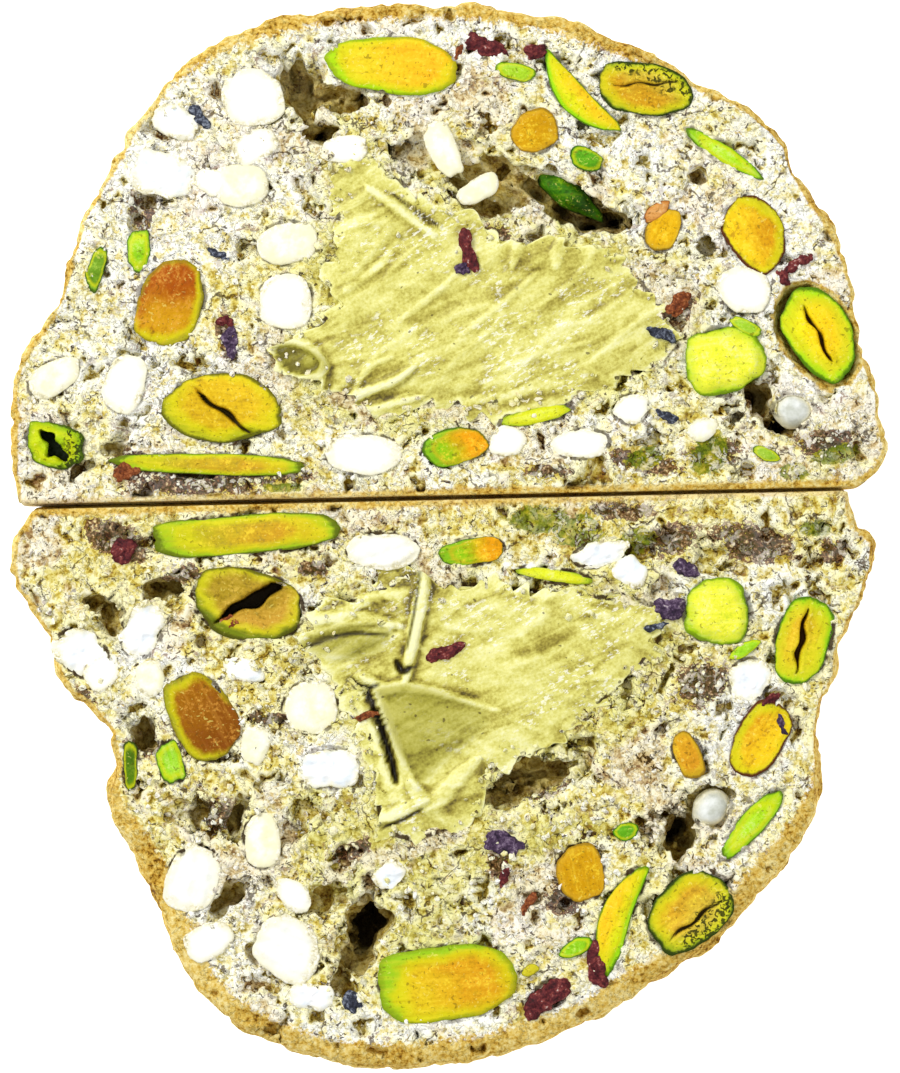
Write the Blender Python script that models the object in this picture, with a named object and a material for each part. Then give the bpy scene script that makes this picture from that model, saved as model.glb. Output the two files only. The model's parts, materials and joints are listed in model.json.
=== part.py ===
"""A thick filled pistachio cookie, cut in half through the middle and opened flat.

The two halves lie base to base with their cut faces up: +X runs along the seam between them, +Y from the
lower half to the upper half, +Z up. Z = 0 is the surface that they rest on and the cut faces are at
CUT_HEIGHT. Each half is a dough body with a filling of pistachio cream, pistachio kernels, lumps of white
chocolate and air holes. Outline points and piece sizes are in millimetres, and mm() turns them into metres.
"""

import math

import bmesh
import bpy
from mathutils import Matrix, Vector

MM = 0.001

# Driving dimensions, in millimetres.
CUT_HEIGHT = 46.0  # from the resting surface to the cut faces
REST_CUT = 0.9  # how much of each round flank is flattened where it rests
GAP = 0.35  # clearance between the dough and each piece in it

FLANK_COLUMNS = 26  # steps from the right rim, under the cookie, to the left rim
FLANK_ROWS = 28  # steps from the base edge to the crown
RIM_BULGE = 0.018  # how far the flank swells beyond the cut outline, as a share of its radius
LUMP = 0.013  # uneven baking of the flank, as a share of its radius
PIECE_SEGMENTS = 12
PIECE_RINGS = 6

# The rim of each cut face, from the right base corner over the crown to the left base corner.
UPPER_RIM = [
    (43.5, 5.6), (47.0, 8.2), (46.2, 12.4), (45.9, 16.7), (43.4, 20.8), (43.6, 25.3), (42.1, 30.3),
    (39.9, 34.6), (37.4, 38.2), (36.2, 42.2), (32.1, 45.9), (26.2, 48.9), (20.9, 52.1), (15.0, 54.4),
    (8.0, 56.4), (0.5, 57.2), (-7.5, 57.0), (-16.6, 55.9), (-24.3, 53.6), (-29.4, 50.2), (-32.8, 45.6),
    (-36.7, 38.8), (-39.7, 34.1), (-40.8, 29.2), (-42.3, 24.7), (-45.5, 19.6), (-47.0, 16.2),
    (-46.6, 11.9), (-47.0, 7.6), (-46.2, 3.7),
]  # fmt: skip
LOWER_RIM = [
    (42.6, 4.6), (43.0, 1.8), (45.6, -0.6), (45.7, -3.3), (44.2, -7.2), (41.9, -11.7), (41.6, -15.1),
    (40.2, -17.6), (39.6, -21.8), (39.9, -26.1), (38.8, -31.5), (35.3, -36.3), (30.0, -42.2),
    (25.1, -46.1), (19.8, -49.6), (13.4, -53.2), (5.9, -55.7), (-1.6, -57.0), (-9.1, -57.2),
    (-15.5, -56.0), (-21.9, -53.4), (-26.8, -49.6), (-29.2, -45.4), (-31.6, -40.0), (-34.2, -34.1),
    (-36.8, -29.9), (-37.0, -26.9), (-35.8, -24.0), (-36.9, -20.2), (-40.5, -17.0), (-42.4, -14.0),
    (-43.3, -10.4), (-46.4, -6.0), (-47.0, -2.9), (-46.5, 0.4), (-44.6, 2.6),
]  # fmt: skip

# The edge of the pistachio cream on each cut face, anticlockwise.
UPPER_CREAM = [
    (25.1, 21.3), (22.3, 24.6), (18.2, 29.2), (11.2, 31.1), (2.7, 32.4), (-2.7, 34.9), (-5.9, 38.6),
    (-9.6, 39.6), (-12.6, 37.0), (-11.6, 33.2), (-12.6, 28.4), (-13.2, 22.8), (-16.9, 20.4),
    (-17.4, 18.6), (-12.4, 16.2), (-5.9, 14.6), (1.6, 14.4), (8.6, 14.9), (17.0, 16.9), (23.3, 18.6),
]  # fmt: skip
LOWER_CREAM = [
    (23.9, -8.3), (21.6, -12.0), (16.6, -17.2), (11.2, -21.8), (4.8, -24.7), (1.6, -29.3), (-2.7, -32.5),
    (-8.0, -31.0), (-7.6, -27.7), (-8.4, -21.8), (-9.8, -16.6), (-12.8, -13.9), (-14.4, -12.0),
    (-13.2, -8.4), (-6.6, -5.6), (1.6, -5.2), (11.2, -6.2), (20.6, -7.0),
]  # fmt: skip
CREAM_DEPTH = 13.0

# Pieces in the dough: name, x, y, length, width, depth, turn in degrees, bend (how far the middle bows).
UPPER_NUTS = [
    ("oval_slab", -6.1, 50.4, 13.7, 5.9, 4.6, -2, 0),
    ("crescent", 14.3, 47.6, 11.3, 3.0, 4.2, -48, -1.3),
    ("split_kernel", 20.8, 47.9, 9.9, 5.8, 5.2, -12, 0),
    ("small_disc", 9.1, 43.4, 4.9, 4.7, 3.8, 0, 0),
    ("green_sliver", 29.2, 41.0, 9.6, 1.9, 3.0, -33, 0),
    ("edge_kernel", 32.6, 32.4, 8.6, 6.0, 4.8, -58, 0),
    ("green_split", 39.5, 21.7, 10.8, 6.6, 4.2, -58, 0),
    ("round_kernel", 29.3, 18.8, 8.3, 7.5, 6.5, 0, 0),
    ("amber_kernel", -30.0, 24.9, 9.2, 7.1, 5.2, 65, 0),
    ("wide_split", -24.3, 13.7, 12.4, 7.5, 5.6, -5, 0),
    ("curled_kernel", -42.3, 9.8, 6.6, 4.6, 3.4, -15, 0),
    ("long_slab", -25.7, 7.7, 20.1, 2.2, 4.4, -1, 0),
    ("half_kernel", 0.5, 9.6, 7.1, 3.8, 4.0, 14, 0),
    ("thin_crescent", 9.2, 12.9, 8.1, 1.6, 2.6, 12, 0),
    ("small_amber", 22.8, 32.8, 4.9, 3.4, 3.0, 65, 0),
    ("green_chip", -33.3, 30.6, 4.3, 2.5, 2.8, 80, 0),
]
LOWER_NUTS = [
    ("oval_slab", -0.5, -47.8, 14.3, 8.3, 5.4, 3, 0),
    ("crescent", 18.9, -41.3, 12.6, 3.2, 4.2, 72, 1.4),
    ("split_kernel", 25.7, -40.2, 10.3, 7.0, 5.2, 42, 0),
    ("small_disc", 14.0, -36.0, 6.4, 4.9, 4.0, 100, 0),
    ("green_sliver", 32.3, -30.8, 10.1, 2.6, 3.2, 48, 0),
    ("edge_kernel", 33.2, -21.6, 8.4, 5.6, 4.6, 60, 0),
    ("green_split", 37.8, -11.1, 9.2, 6.0, 4.4, 72, 0),
    ("round_kernel", 28.6, -8.1, 7.3, 6.8, 6.0, 0, 0),
    ("amber_kernel", -26.6, -19.3, 10.3, 6.6, 5.2, -60, 0),
    ("wide_split", -21.6, -7.3, 12.2, 7.4, 5.6, -12, 0),
    ("long_slab", -22.1, 0.2, 19.3, 4.3, 4.6, 3, 0),
    ("half_kernel", 2.4, -1.6, 6.8, 2.9, 3.4, 8, 0),
    ("thin_crescent", 11.1, -4.2, 8.1, 1.4, 2.4, -8, 0),
    ("small_amber", 25.5, -23.5, 5.1, 3.0, 3.0, -70, 0),
    ("green_chip", -29.9, -24.2, 4.6, 2.6, 2.8, -75, 0),
    ("dark_sliver", -34.2, -24.4, 5.0, 1.6, 2.4, 90, 0),
]
UPPER_CHOCOLATE = [
    ("01", -21.1, 46.9, 6.8, 6.0, 4.6, 0, 0),
    ("02", -30.8, 38.8, 6.6, 5.3, 4.2, -20, 0),
    ("03", -22.5, 37.6, 6.4, 4.5, 4.0, 0, 0),
    ("04", -17.4, 31.4, 6.4, 4.5, 3.8, 10, 0),
    ("05", -17.6, 25.1, 6.0, 5.8, 4.4, 0, 0),
    ("06", -34.8, 16.3, 6.2, 4.5, 3.8, 75, 0),
    ("07", -42.3, 17.0, 6.2, 3.4, 3.0, 30, 0),
    ("08", -9.3, 8.8, 8.0, 4.4, 4.2, 0, 0),
    ("09", 19.4, 13.6, 3.8, 3.0, 2.8, 10, 0),
    ("10", 14.0, 9.9, 6.2, 3.0, 3.2, 5, 0),
    ("11", 31.5, 26.4, 5.6, 4.9, 4.4, -40, 0),
    ("12", 36.8, 13.5, 4.6, 3.9, 3.4, 0, 0),
]
LOWER_CHOCOLATE = [
    ("01", -17.4, -44.2, 7.7, 6.2, 4.8, -40, 0),
    ("02", -20.1, -32.6, 5.8, 4.0, 3.6, 90, 0),
    ("03", -27.6, -36.7, 7.7, 5.4, 4.4, 70, 0),
    ("04", -12.9, -24.8, 6.4, 4.4, 3.8, 0, 0),
    ("05", -14.9, -18.4, 6.0, 5.6, 4.4, 0, 0),
    ("06", -33.0, -10.2, 5.8, 4.2, 3.8, 75, 0),
    ("07", -39.3, -12.6, 6.4, 4.4, 3.4, -40, 0),
    ("08", -7.2, -1.6, 7.6, 4.0, 3.8, 2, 0),
    ("09", 16.2, -1.9, 6.2, 2.6, 3.0, 10, 0),
    ("10", 32.0, -15.4, 4.6, 4.2, 3.8, 80, 0),
    ("11", 28.0, -29.1, 4.4, 3.8, 3.4, 30, 0),
]
LOWER_FLAKES = [("01", 10.3, -49.4, 5.6, 2.8, 1.8, 42, 0)]

# Air holes that the dough baked round: x, y, length, width, depth, turn in degrees.
UPPER_HOLES = [
    (6.4, 37.3, 22.0, 6.4, 7.0, -24),
    (-14.3, 47.6, 5.6, 7.4, 6.0, 20),
    (33.4, 11.0, 5.0, 4.4, 5.0, -30),
]
LOWER_HOLES = [
    (-8.6, -41.6, 3.8, 7.4, 7.0, 0),
    (8.6, -26.8, 9.6, 3.6, 6.0, 12),
    (24.6, -31.6, 3.4, 6.0, 6.0, -20),
]

# name: base colour, roughness
FINISHES = {
    "baked_dough": ((0.80, 0.68, 0.42), 0.9),
    "pistachio_cream": ((0.66, 0.62, 0.24), 0.35),
    "pistachio": ((0.72, 0.55, 0.06), 0.5),
    "white_chocolate": ((0.93, 0.91, 0.80), 0.45),
    "nut_skin": ((0.22, 0.07, 0.09), 0.7),
}


def mm(*lengths):
    """Lengths in millimetres as a vector in metres."""
    return Vector(lengths) * MM


def clear_scene():
    for old in list(bpy.data.objects):
        bpy.data.objects.remove(old)


def new_collection(name, hidden=False):
    made = bpy.data.collections.new(name)
    made.hide_render = hidden
    bpy.context.scene.collection.children.link(made)
    return made


def finish_of(name):
    """The Principled material of that name, made once."""
    material = bpy.data.materials.get(name)
    if material is None:
        colour, roughness = FINISHES[name]
        material = bpy.data.materials.new(name)
        material.use_nodes = True
        shader = material.node_tree.nodes["Principled BSDF"]
        shader.inputs["Base Color"].default_value = (*colour, 1.0)
        shader.inputs["Roughness"].default_value = roughness
        shader.inputs["Metallic"].default_value = 0.0
    return material


def place(bm, name, collection, finish=None, at=(0, 0, 0), turn=0.0):
    """The bmesh as an object, standing at that point and turned about Z. The bmesh is freed."""
    mesh = bpy.data.meshes.new(name)
    bm.to_mesh(mesh)
    bm.free()
    made = bpy.data.objects.new(name, mesh)
    made.location = at
    made.rotation_euler.z = math.radians(turn)
    collection.objects.link(made)
    if finish:
        mesh.materials.append(finish_of(finish))
        mesh.shade_smooth()
        mesh.set_sharp_from_angle(angle=math.radians(40))
    return made


def smooth_line(points, count, closed=False):
    """count points at even spacing along a Catmull-Rom curve through the points."""
    total = len(points)
    fine = []
    for i in range(total if closed else total - 1):
        if closed:
            four = [Vector(points[(i + k) % total]) for k in (-1, 0, 1, 2)]
        else:
            four = [Vector(points[min(max(i + k, 0), total - 1)]) for k in (-1, 0, 1, 2)]
        a, b, c, d = four
        for step in range(8):
            t = step / 8
            linear = (c - a) * t
            square = (2 * a - 5 * b + 4 * c - d) * t**2
            cube = (3 * b - a - 3 * c + d) * t**3
            fine.append(b + (linear + square + cube) / 2)
    fine.append(Vector(points[0 if closed else -1]))
    lengths = [0.0]
    for near, far in zip(fine, fine[1:]):
        lengths.append(lengths[-1] + (far - near).length)
    even, k = [], 0
    for i in range(count):
        reach = lengths[-1] * i / (count if closed else count - 1)
        while k < len(fine) - 2 and lengths[k + 1] < reach:
            k += 1
        share = (reach - lengths[k]) / (lengths[k + 1] - lengths[k])
        even.append(fine[k].lerp(fine[k + 1], share))
    return even


def flank_point(right, left, axis_x, across, along):
    """A point of the baked outside, in millimetres below the cut face. across runs from 0 at the right rim
    to pi at the left rim, along from 0 at the base edge to 1 at the crown."""
    share = (1 - math.cos(across)) / 2
    radius = abs(right.x - axis_x) * (1 - share) + abs(left.x - axis_x) * share
    under = math.sin(across)
    swell = RIM_BULGE * min(1.0, 3 * under) * math.sin(math.pi * min(1.0, along * 1.15))
    lumps = LUMP * under * math.sin(3 * across + 9 * along) * math.cos(2 * across - 6 * along)
    radius *= 1 + swell + lumps
    y = right.y * (1 - share) + left.y * share
    return Vector((axis_x + radius * math.cos(across), y, -radius * under))


def dough_half(rim, name, collection):
    """One half of the baked cookie: a loft of unlike sections swung under the cookie from rim to rim."""
    count = 2 * FLANK_ROWS + 1
    line = smooth_line(rim, count)
    rights, lefts = line[: FLANK_ROWS + 1], line[FLANK_ROWS:][::-1]
    crown = line[FLANK_ROWS]
    bm = bmesh.new()
    grid = []
    for column in range(FLANK_COLUMNS + 1):
        across = math.pi * column / FLANK_COLUMNS
        row = [
            bm.verts.new(flank_point(right, left, crown.x, across, i / FLANK_ROWS))
            for i, (right, left) in enumerate(zip(rights[:-1], lefts[:-1]))
        ]
        grid.append(row)
    top = bm.verts.new((crown.x, crown.y, 0))
    for near, far in zip(grid, grid[1:]):
        for i in range(FLANK_ROWS - 1):
            bm.faces.new((near[i], near[i + 1], far[i + 1], far[i]))
        bm.faces.new((near[-1], top, far[-1]))
    bm.faces.new([*grid[0], top, *reversed(grid[-1])])
    bm.faces.new([column[0] for column in grid])
    deepest = min(v.co.z for v in bm.verts)
    reach = (CUT_HEIGHT + REST_CUT) / -deepest
    for v in bm.verts:
        v.co = mm(v.co.x, v.co.y, CUT_HEIGHT + v.co.z * reach)
    whole = [*bm.verts, *bm.edges, *bm.faces]
    cut = bmesh.ops.bisect_plane(bm, geom=whole, plane_co=(0, 0, 0), plane_no=(0, 0, 1), clear_inner=True)
    edges = [e for e in cut["geom_cut"] if isinstance(e, bmesh.types.BMEdge)]
    bmesh.ops.holes_fill(bm, edges=edges)
    bmesh.ops.recalc_face_normals(bm, faces=bm.faces)
    return place(bm, name, collection, "baked_dough")


def half_ellipsoid(length, width, depth, bend=0.0, whole=False):
    """A kernel or lump cut flat on top, or with whole=True the full ellipsoid that cuts its pocket."""
    bm = bmesh.new()
    bmesh.ops.create_uvsphere(bm, u_segments=PIECE_SEGMENTS, v_segments=PIECE_RINGS, radius=1)
    if not whole:
        above = [v for v in bm.verts if v.co.z > 0.01]
        bmesh.ops.delete(bm, geom=above, context="VERTS")
        bmesh.ops.holes_fill(bm, edges=bm.edges)
    for v in bm.verts:
        bow = bend * (1 - v.co.x**2)
        v.co = mm(v.co.x * length / 2, v.co.y * width / 2 + bow, v.co.z * depth)
    bmesh.ops.recalc_face_normals(bm, faces=bm.faces)
    return bm


def embed(rows, prefix, finish, collection, cutters):
    """Each row's piece flush with the cut face, and the cutter for its pocket in the dough."""
    for name, x, y, length, width, depth, turn, bend in rows:
        at = mm(x, y, CUT_HEIGHT)
        node = f"{prefix}_{name}"
        place(half_ellipsoid(length, width, depth, bend), node, collection, finish, at, turn)
        grown = half_ellipsoid(length + 2 * GAP, width + 2 * GAP, depth + GAP, bend, whole=True)
        place(grown, node + "_pocket", cutters, None, at, turn)


def cream_pool(edge, grow=0.0, whole=False):
    """The cream filling: a sphere drawn out to the edge outline, flat on top unless whole."""
    centre = sum((Vector(p) for p in edge), Vector((0, 0))) / len(edge)
    line = smooth_line(edge, 28, closed=True)
    bm = bmesh.new()
    bmesh.ops.create_uvsphere(bm, u_segments=len(line), v_segments=PIECE_RINGS, radius=1)
    start = min(range(len(line)), key=lambda i: abs(math.atan2(*(line[i] - centre).yx)))
    for v in bm.verts:
        turn = math.atan2(v.co.y, v.co.x) / (2 * math.pi) * len(line)
        out = line[(start + round(turn)) % len(line)] - centre
        level = math.hypot(v.co.x, v.co.y)
        spread = out * (1 + grow / out.length) * level
        v.co = mm(centre.x + spread.x, centre.y + spread.y, v.co.z * (CREAM_DEPTH + grow))
    if not whole:
        above = [v for v in bm.verts if v.co.z > 0.01 * MM]
        bmesh.ops.delete(bm, geom=above, context="VERTS")
        bmesh.ops.holes_fill(bm, edges=bm.edges)
    bmesh.ops.recalc_face_normals(bm, faces=bm.faces)
    bmesh.ops.transform(bm, matrix=Matrix.Translation(mm(0, 0, CUT_HEIGHT)), verts=bm.verts)
    return bm


def bake_half(side, rim, cream, nuts, chocolate, flakes, holes, parts, cutters):
    """One half: its pieces, their pockets, and the dough with the pockets cut out."""
    embed(nuts, f"{side}_pistachio", "pistachio", parts, cutters)
    embed(chocolate, f"{side}_chocolate", "white_chocolate", parts, cutters)
    embed(flakes, f"{side}_skin_flake", "nut_skin", parts, cutters)
    place(cream_pool(cream), f"{side}_cream", parts, "pistachio_cream")
    place(cream_pool(cream, GAP, whole=True), f"{side}_cream_pocket", cutters)
    for number, (x, y, length, width, depth, turn) in enumerate(holes, 1):
        hole = half_ellipsoid(length, width, depth, whole=True)
        place(hole, f"{side}_hole_{number}", cutters, None, mm(x, y, CUT_HEIGHT), turn)
    dough = dough_half(rim, f"{side}_dough", parts)
    cut = dough.modifiers.new("pockets", "BOOLEAN")
    cut.operation = "DIFFERENCE"
    cut.solver = "EXACT"
    cut.use_self = True
    cut.operand_type = "COLLECTION"
    cut.collection = cutters


def main():
    clear_scene()
    parts = new_collection("Filled pistachio cookie, halved")
    upper_cutters = new_collection("Upper cutters", hidden=True)
    lower_cutters = new_collection("Lower cutters", hidden=True)
    bake_half(
        "upper", UPPER_RIM, UPPER_CREAM, UPPER_NUTS, UPPER_CHOCOLATE, [], UPPER_HOLES, parts, upper_cutters
    )
    bake_half(
        "lower", LOWER_RIM, LOWER_CREAM, LOWER_NUTS, LOWER_CHOCOLATE, LOWER_FLAKES, LOWER_HOLES, parts,
        lower_cutters,
    )  # fmt: skip
    for cutter in [*upper_cutters.objects, *lower_cutters.objects]:
        cutter.hide_render = True
        cutter.display_type = "WIRE"


main()
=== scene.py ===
import json
import math

import bpy
import numpy as np
from mathutils import Matrix, Vector, noise
from mathutils.bvhtree import BVHTree

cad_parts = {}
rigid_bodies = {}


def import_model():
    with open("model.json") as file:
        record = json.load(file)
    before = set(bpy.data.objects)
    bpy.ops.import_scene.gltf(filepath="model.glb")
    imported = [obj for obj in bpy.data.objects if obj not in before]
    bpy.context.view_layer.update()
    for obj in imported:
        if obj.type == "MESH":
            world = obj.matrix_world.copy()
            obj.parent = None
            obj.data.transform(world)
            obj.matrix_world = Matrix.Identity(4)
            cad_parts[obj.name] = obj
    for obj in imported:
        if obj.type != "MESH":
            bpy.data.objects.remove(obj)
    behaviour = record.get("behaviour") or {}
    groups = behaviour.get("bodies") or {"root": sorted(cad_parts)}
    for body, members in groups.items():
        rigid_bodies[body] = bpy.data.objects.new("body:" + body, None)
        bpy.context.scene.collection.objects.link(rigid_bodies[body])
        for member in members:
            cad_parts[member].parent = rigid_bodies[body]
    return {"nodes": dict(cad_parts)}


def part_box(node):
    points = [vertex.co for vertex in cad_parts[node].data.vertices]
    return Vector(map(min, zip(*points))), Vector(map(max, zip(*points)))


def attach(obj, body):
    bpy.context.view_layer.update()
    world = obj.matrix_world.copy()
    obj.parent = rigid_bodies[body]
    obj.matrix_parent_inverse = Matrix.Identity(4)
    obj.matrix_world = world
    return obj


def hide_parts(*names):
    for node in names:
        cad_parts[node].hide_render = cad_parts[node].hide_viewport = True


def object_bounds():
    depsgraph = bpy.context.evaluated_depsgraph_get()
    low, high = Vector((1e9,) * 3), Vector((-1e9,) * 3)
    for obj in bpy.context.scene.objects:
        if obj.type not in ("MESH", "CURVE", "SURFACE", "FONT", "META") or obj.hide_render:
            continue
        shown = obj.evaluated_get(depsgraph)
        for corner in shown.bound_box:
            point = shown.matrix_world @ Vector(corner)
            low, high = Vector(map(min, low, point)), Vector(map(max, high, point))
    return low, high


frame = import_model()
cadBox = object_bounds()
mm = 0.001
nodes = frame["nodes"]
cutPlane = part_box("upper_dough")[1].z  # height of both cut faces


def deselectAll():
    if bpy.context.mode != "OBJECT":
        bpy.ops.object.mode_set(mode="OBJECT")
    for other in list(bpy.context.selected_objects):
        other.select_set(False)


def choose(piece):
    deselectAll()
    piece.select_set(True)
    bpy.context.view_layer.objects.active = piece


def applyModifiers(piece):
    choose(piece)
    for modifier in list(piece.modifiers):
        bpy.ops.object.modifier_apply(modifier=modifier.name)


def pointsOf(piece):
    found = np.zeros(len(piece.data.vertices) * 3)
    piece.data.vertices.foreach_get("co", found)
    return found.reshape(-1, 3)


def normalsOf(piece):
    found = np.zeros(len(piece.data.vertices) * 3)
    piece.data.vertex_normals.foreach_get("vector", found)
    return found.reshape(-1, 3)


def movePoints(piece, places):
    piece.data.vertices.foreach_set("co", np.ascontiguousarray(places, np.float32).ravel())
    piece.data.update()


def paintPoints(piece, name, values):
    # one number for each vertex, for the materials to read
    layer = piece.data.attributes.new(name, "FLOAT", "POINT")
    layer.data.foreach_set("value", np.ascontiguousarray(values, np.float32))


def valuesOf(piece, name):
    found = np.zeros(len(piece.data.vertices))
    piece.data.attributes[name].data.foreach_get("value", found)
    return found


def ease(share):
    share = np.clip(share, 0, 1)
    return share * share * (3 - 2 * share)


def copyNode(node, name):
    # a CAD node's mesh as a new piece, its loose triangles merged
    piece = bpy.data.objects.new(name, nodes[node].data.copy())
    piece.data.name = name
    piece.data.materials.clear()
    bpy.context.scene.collection.objects.link(piece)
    choose(piece)
    bpy.ops.object.mode_set(mode="EDIT")
    bpy.ops.mesh.select_all(action="SELECT")
    bpy.ops.mesh.remove_doubles(threshold=0.002 * mm)
    bpy.ops.object.mode_set(mode="OBJECT")
    return piece


def edgeOf(node):
    # the outline of a node's flat top, in order round its middle
    found = pointsOf(nodes[node])
    flat = found[found[:, 2] > found[:, 2].max() - 0.05 * mm][:, :2]
    flat = np.unique(np.round(flat, 6), axis=0)
    middle = flat.mean(0)
    turn = np.arctan2(flat[:, 1] - middle[1], flat[:, 0] - middle[0])
    return flat[np.argsort(turn)]


def insideBy(spots, edge):
    # how far each spot lies inside the closed edge, and below zero outside it
    nearest = np.full(len(spots), 1.0)
    inside = np.zeros(len(spots), bool)
    for start, end in zip(edge, np.roll(edge, -1, 0)):
        run = end - start
        share = np.clip(((spots - start) @ run) / max(run @ run, 1e-12), 0, 1)
        away = spots - start - share[:, None] * run
        nearest = np.minimum(nearest, np.hypot(away[:, 0], away[:, 1]))
        crosses = (start[1] > spots[:, 1]) != (end[1] > spots[:, 1])
        rise = run[1] if abs(run[1]) > 1e-12 else 1e-12
        inside ^= crosses & (spots[:, 0] < start[0] + (spots[:, 1] - start[1]) * run[0] / rise)
    return np.where(inside, nearest, -nearest)


def lineDistance(spots, line):
    # distance of each spot to an open line, and how far along it (0 to 1) the nearest point is
    nearest = np.full(len(spots), 1.0)
    along = np.zeros(len(spots))
    for number, (start, end) in enumerate(zip(line[:-1], line[1:])):
        run = end - start
        share = np.clip(((spots - start) @ run) / max(run @ run, 1e-12), 0, 1)
        away = np.hypot(*(spots - start - share[:, None] * run).T)
        closer = away < nearest
        nearest = np.where(closer, away, nearest)
        along = np.where(closer, (number + share) / (len(line) - 1), along)
    return nearest, along


def blurred(values, edges, rounds):
    # each row of values drawn towards the mean of its neighbours
    count = len(values)
    near, far = edges[:, 0], edges[:, 1]
    share = np.maximum(np.bincount(near, minlength=count) + np.bincount(far, minlength=count), 1)
    for _ in range(rounds):
        mean = np.empty_like(values)
        for k in range(values.shape[1]):
            mean[:, k] = np.bincount(near, values[far, k], count) + np.bincount(far, values[near, k], count)
        values = 0.4 * values + 0.6 * mean / share[:, None]
    return values


def edgesOf(piece):
    found = np.zeros(len(piece.data.edges) * 2, np.int32)
    piece.data.edges.foreach_get("vertices", found)
    return found.reshape(-1, 2)


def grain(name, kind, size, **settings):
    # a texture for a Displace modifier, with its grains of that size
    texture = bpy.data.textures.new(name, kind)
    texture.noise_scale = size
    stops = settings.pop("stops", None)
    for key, value in settings.items():
        setattr(texture, key, value)
    if stops:
        texture.use_color_ramp = True
        ramp = texture.color_ramp
        for stop, (place, level) in zip(ramp.elements, stops):
            stop.position = place
            stop.color = (level, level, level, 1)
    return texture


def swell(piece, texture, strength, middle=0.5, group=None):
    modifier = piece.modifiers.new(texture.name, "DISPLACE")
    modifier.texture = texture
    modifier.texture_coords = "LOCAL"
    modifier.strength = strength
    modifier.mid_level = middle
    if group:
        modifier.vertex_group = group


def groupOf(piece, name, weights):
    group = piece.vertex_groups.new(name=name)
    steps = np.round(np.clip(weights, 0, 1) * 20).astype(int)
    for step in range(1, 21):
        group.add(np.flatnonzero(steps == step).tolist(), step / 20, "REPLACE")


def weightsOf(piece, name):
    index = piece.vertex_groups[name].index
    found = np.zeros(len(piece.data.vertices))
    for number, vertex in enumerate(piece.data.vertices):
        for group in vertex.groups:
            if group.group == index:
                found[number] = group.weight
    return found


def spot(side, across, reach):
    # a place on a half's cut face: across from -100 to 100, reach from 0 at the seam to 100 at the crown
    low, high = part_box(side + "_dough")
    x = (low.x + high.x) / 2 + across / 100 * (high.x - low.x) / 2
    share = reach / 100 if side == "upper" else 1 - reach / 100
    return np.array([x, low.y + share * (high.y - low.y)])


def linear(code):
    # a colour as it looks, such as "e0b050", as the linear colour that a shader takes
    parts = [int(code[k:k + 2], 16) / 255 for k in (0, 2, 4)]
    return (*[p / 12.92 if p < 0.04 else ((p + 0.055) / 1.055) ** 2.4 for p in parts], 1.0)


class Wire:
    # an output socket, on which arithmetic adds Math nodes
    def __init__(self, tree, socket=None):
        self.tree = tree
        self.socket = socket

    def node(self, kind, settings=None, output=0, **values):
        made = self.tree.nodes.new("ShaderNode" + kind)
        for name, value in (settings or {}).items():
            if name == "stops":
                ramp = made.color_ramp
                while len(ramp.elements) < len(value):
                    ramp.elements.new(0.5)
                for stop, (place, colour) in zip(ramp.elements, value):
                    stop.position = place
                    stop.color = linear(colour) if isinstance(colour, str) else (colour,) * 3 + (1,)
            else:
                setattr(made, name, value)
        for name, value in values.items():
            if name[0] == "_":
                socket = made.inputs[int(name[1:])]
            else:
                socket = made.inputs[name.replace("_", " ")]
            if isinstance(value, Wire):
                self.tree.links.new(value.socket, socket)
            else:
                socket.default_value = value
        return Wire(self.tree, made.outputs[output])

    def maths(self, operation, first, second):
        return self.node("Math", {"operation": operation}, _0=first, _1=second)

    def __add__(self, other):
        return self.maths("ADD", self, other)

    __radd__ = __add__

    def __sub__(self, other):
        return self.maths("SUBTRACT", self, other)

    def __rsub__(self, other):
        return self.maths("SUBTRACT", other, self)

    def __mul__(self, other):
        return self.maths("MULTIPLY", self, other)

    __rmul__ = __mul__

    def between(self, low, high):
        # 0 at low, 1 at high, smooth between
        return self.node("MapRange", {"interpolation_type": "SMOOTHSTEP"}, Value=self, _1=low, _2=high)

    def noise(self, place, size, detail=3.0, roughness=0.55, distortion=0.0):
        look = {"Detail": detail, "Roughness": roughness, "Distortion": distortion}
        return self.node("TexNoise", Vector=place, Scale=1 / size, **look)

    def stretched(self, place, turn, size):
        # the place turned about Z and divided by a size along each axis
        turned = self.node("Mapping", Vector=place, Rotation=(0, 0, turn))
        return self.node("VectorMath", {"operation": "DIVIDE"}, _0=turned, _1=size)

    def mixed(self, factor, below, above):
        # each colour is a socket or as it looks, such as "e0b050"
        below, above = (linear(colour) if isinstance(colour, str) else colour for colour in (below, above))
        return self.node("Mix", {"data_type": "RGBA"}, output=2, _0=factor, _6=below, _7=above)

    def ramp(self, factor, *stops):
        return self.node("ValToRGB", {"stops": stops}, Fac=factor)

    def attribute(self, name):
        return self.node("Attribute", {"attribute_name": name}, output="Fac")


def newFinish(name, **constants):
    # a material with an empty Principled shader, the wire to build on, and the object's own coordinates
    material = bpy.data.materials.new(name)
    material.use_nodes = True
    tree = material.node_tree
    shader = tree.nodes["Principled BSDF"]
    for socket, value in constants.items():
        shader.inputs[socket.replace("_", " ")].default_value = value
    wire = Wire(tree)
    place = wire.node("TexCoord", output="Object")
    return material, shader, wire, place


def plug(shader, wire, **links):
    for socket, value in links.items():
        wire.tree.links.new(value.socket, shader.inputs[socket.replace("_", " ")])


def bumped(wire, height, distance, strength=1.0):
    return wire.node("Bump", Height=height, Distance=distance, Strength=strength)


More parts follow.
